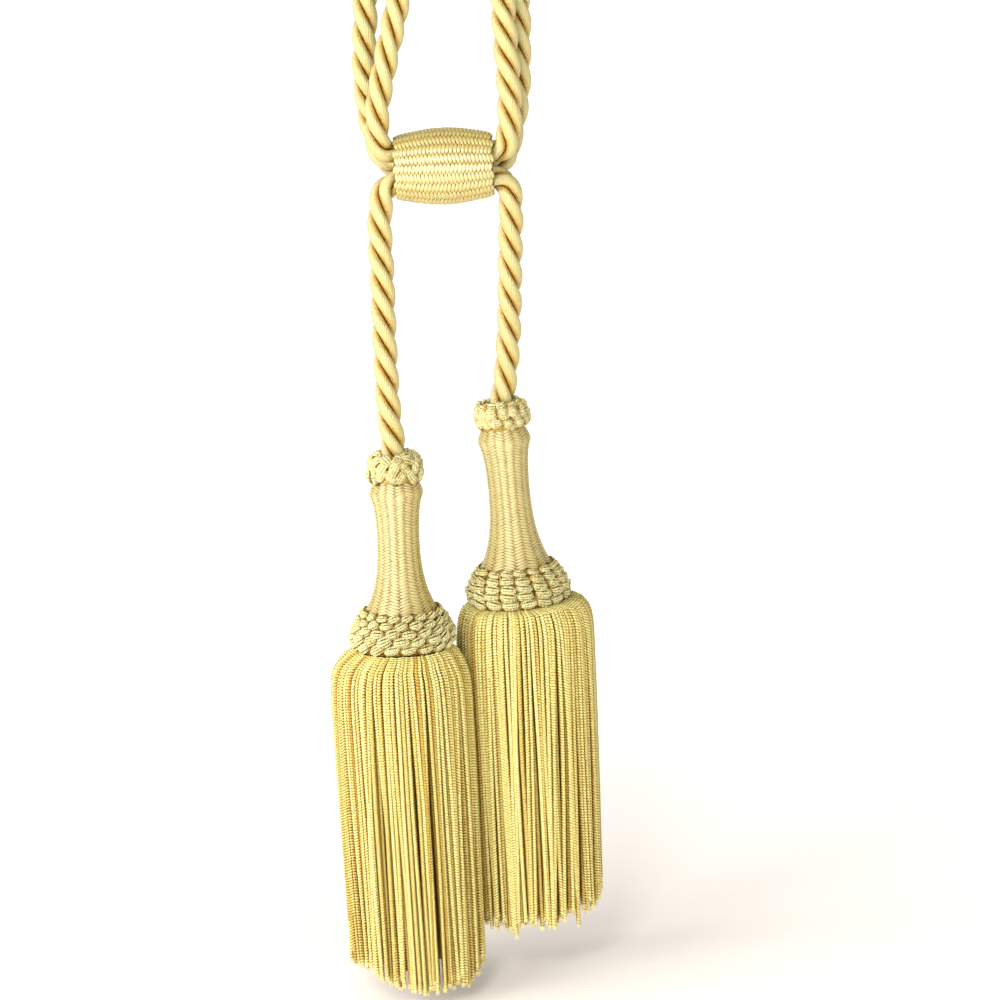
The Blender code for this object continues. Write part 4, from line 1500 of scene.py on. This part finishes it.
    def frayed_ends(self, tips: np.ndarray, flows: np.ndarray) -> Object:
        """Seat a small tuft of fibres on the end of each outer strand.

        Args:
            tips: Where the strands end.
            flows: The directions in which they end.

        Returns:
            All the tufts, as one object.
        """
        sides = np.cross(flows, (0.0, 1.0, 0.0))
        size = np.full((len(tips), 3), 1.0)
        seats = points_object(f"{self.hang.side}_tips", tips, [], out=flows, lie=unit(sides), size=size)
        made = grown_mesh(seats, seated_tree(), Piece=Tuft().build(), Size_jitter=0.25,
                          Turn_jitter=3.0, Tint=0.3, Seed=self.hang.seed,
                          Finish=FRAYED_FINISH.material())
        made.data.transform(self.hang.place())
        return made

    def backing(self) -> Object:
        """The disc under the head that the strands are sewn to."""
        return lathe(f"{self.hang.side}_backing", GROUND_FINISH, self.hang.collar_place(),
                     ((1.0, -71.0), (20.4, -71.0), (20.4, -73.4), (1.0, -73.4)), 48)


@dataclass(frozen=True)
class Tuft:
    """Loose fibres at the cut end of a strand."""

    fibres: int = 7
    length: float = 2.4 * MM
    spread: float = 0.55 * MM
    thickness: float = 0.26 * MM

    def build(self) -> Object:
        """A brush of fibres along +Z, hidden from the scene."""
        made = bpy.data.objects.get("tuft")
        if made:
            return made
        random = np.random.default_rng(9)
        shell = Shell()
        turn = np.linspace(0.0, math.tau, 3, endpoint=False)
        for fibre in range(self.fibres):
            angle = math.tau * fibre / self.fibres
            lean = random.uniform(0.4, 1.0) * self.spread
            length = random.uniform(0.6, 1.0) * self.length
            rows = []
            for down, reach in ((-0.35, 0.6), (0.35, 1.0), (1.0, 0.35)):
                outward = np.array((math.cos(angle), math.sin(angle), 0.0))
                middle = outward * (0.5 * MM + lean * max(down, 0))
                ring = np.zeros((3, 3))
                ring[:, 0] = self.thickness * reach * np.cos(turn)
                ring[:, 1] = self.thickness * reach * np.sin(turn)
                rows.append(middle + ring + np.array((0.0, 0.0, down * length)))
            shell.add_rows(np.array(rows), depth=0.05)
        made = shell.build("tuft", FRAYED_FINISH)
        bpy.context.scene.collection.objects.unlink(made)
        return made


@dataclass
class Tassel:
    """One whole tassel."""

    hang: Hang

    def build(self) -> None:
        """Make its ruff, head, collar and fringe."""
        Head(self.hang).build()
        Ruff(self.hang).build()
        Collar(self.hang).build()
        Fringe(self.hang).build()


HANGS = (
    Hang(side="left", x=-27.6, y=-11.0, ridge_z=-483.1, lean=0.0, collar_drop=0.0,
         shoulder_shift=-1.8, hem_shift=0.6, hem_lift=-1.4, outer_lift=1.5, edge_lift=8.0,
         neighbour=21.1, knot_columns=18, knot_stagger=0.5, knot_slant=18.0,
         petal_slant=62.0, petal_reach=1.0, seed=3),
    Hang(side="right", x=21.5, y=11.0, ridge_z=-464.9, lean=3.2, collar_drop=4.6,
         shoulder_shift=1.4, hem_shift=-5.5, hem_lift=1.5, outer_lift=4.0, edge_lift=4.5,
         neighbour=201.1, knot_columns=17, knot_stagger=0.06, knot_slant=-6.0,
         petal_slant=24.0, petal_reach=0.80, seed=8),
)


def main() -> None:
    """Build every sub-assembly in order."""
    logging.basicConfig(level=logging.INFO, format="%(message)s")
    Viewpoint().build()
    Rope().build()
    Studio().build()
    Slider().build()
    for hang in HANGS:
        Tassel(hang).build()


if __name__ == "__main__":
    main()
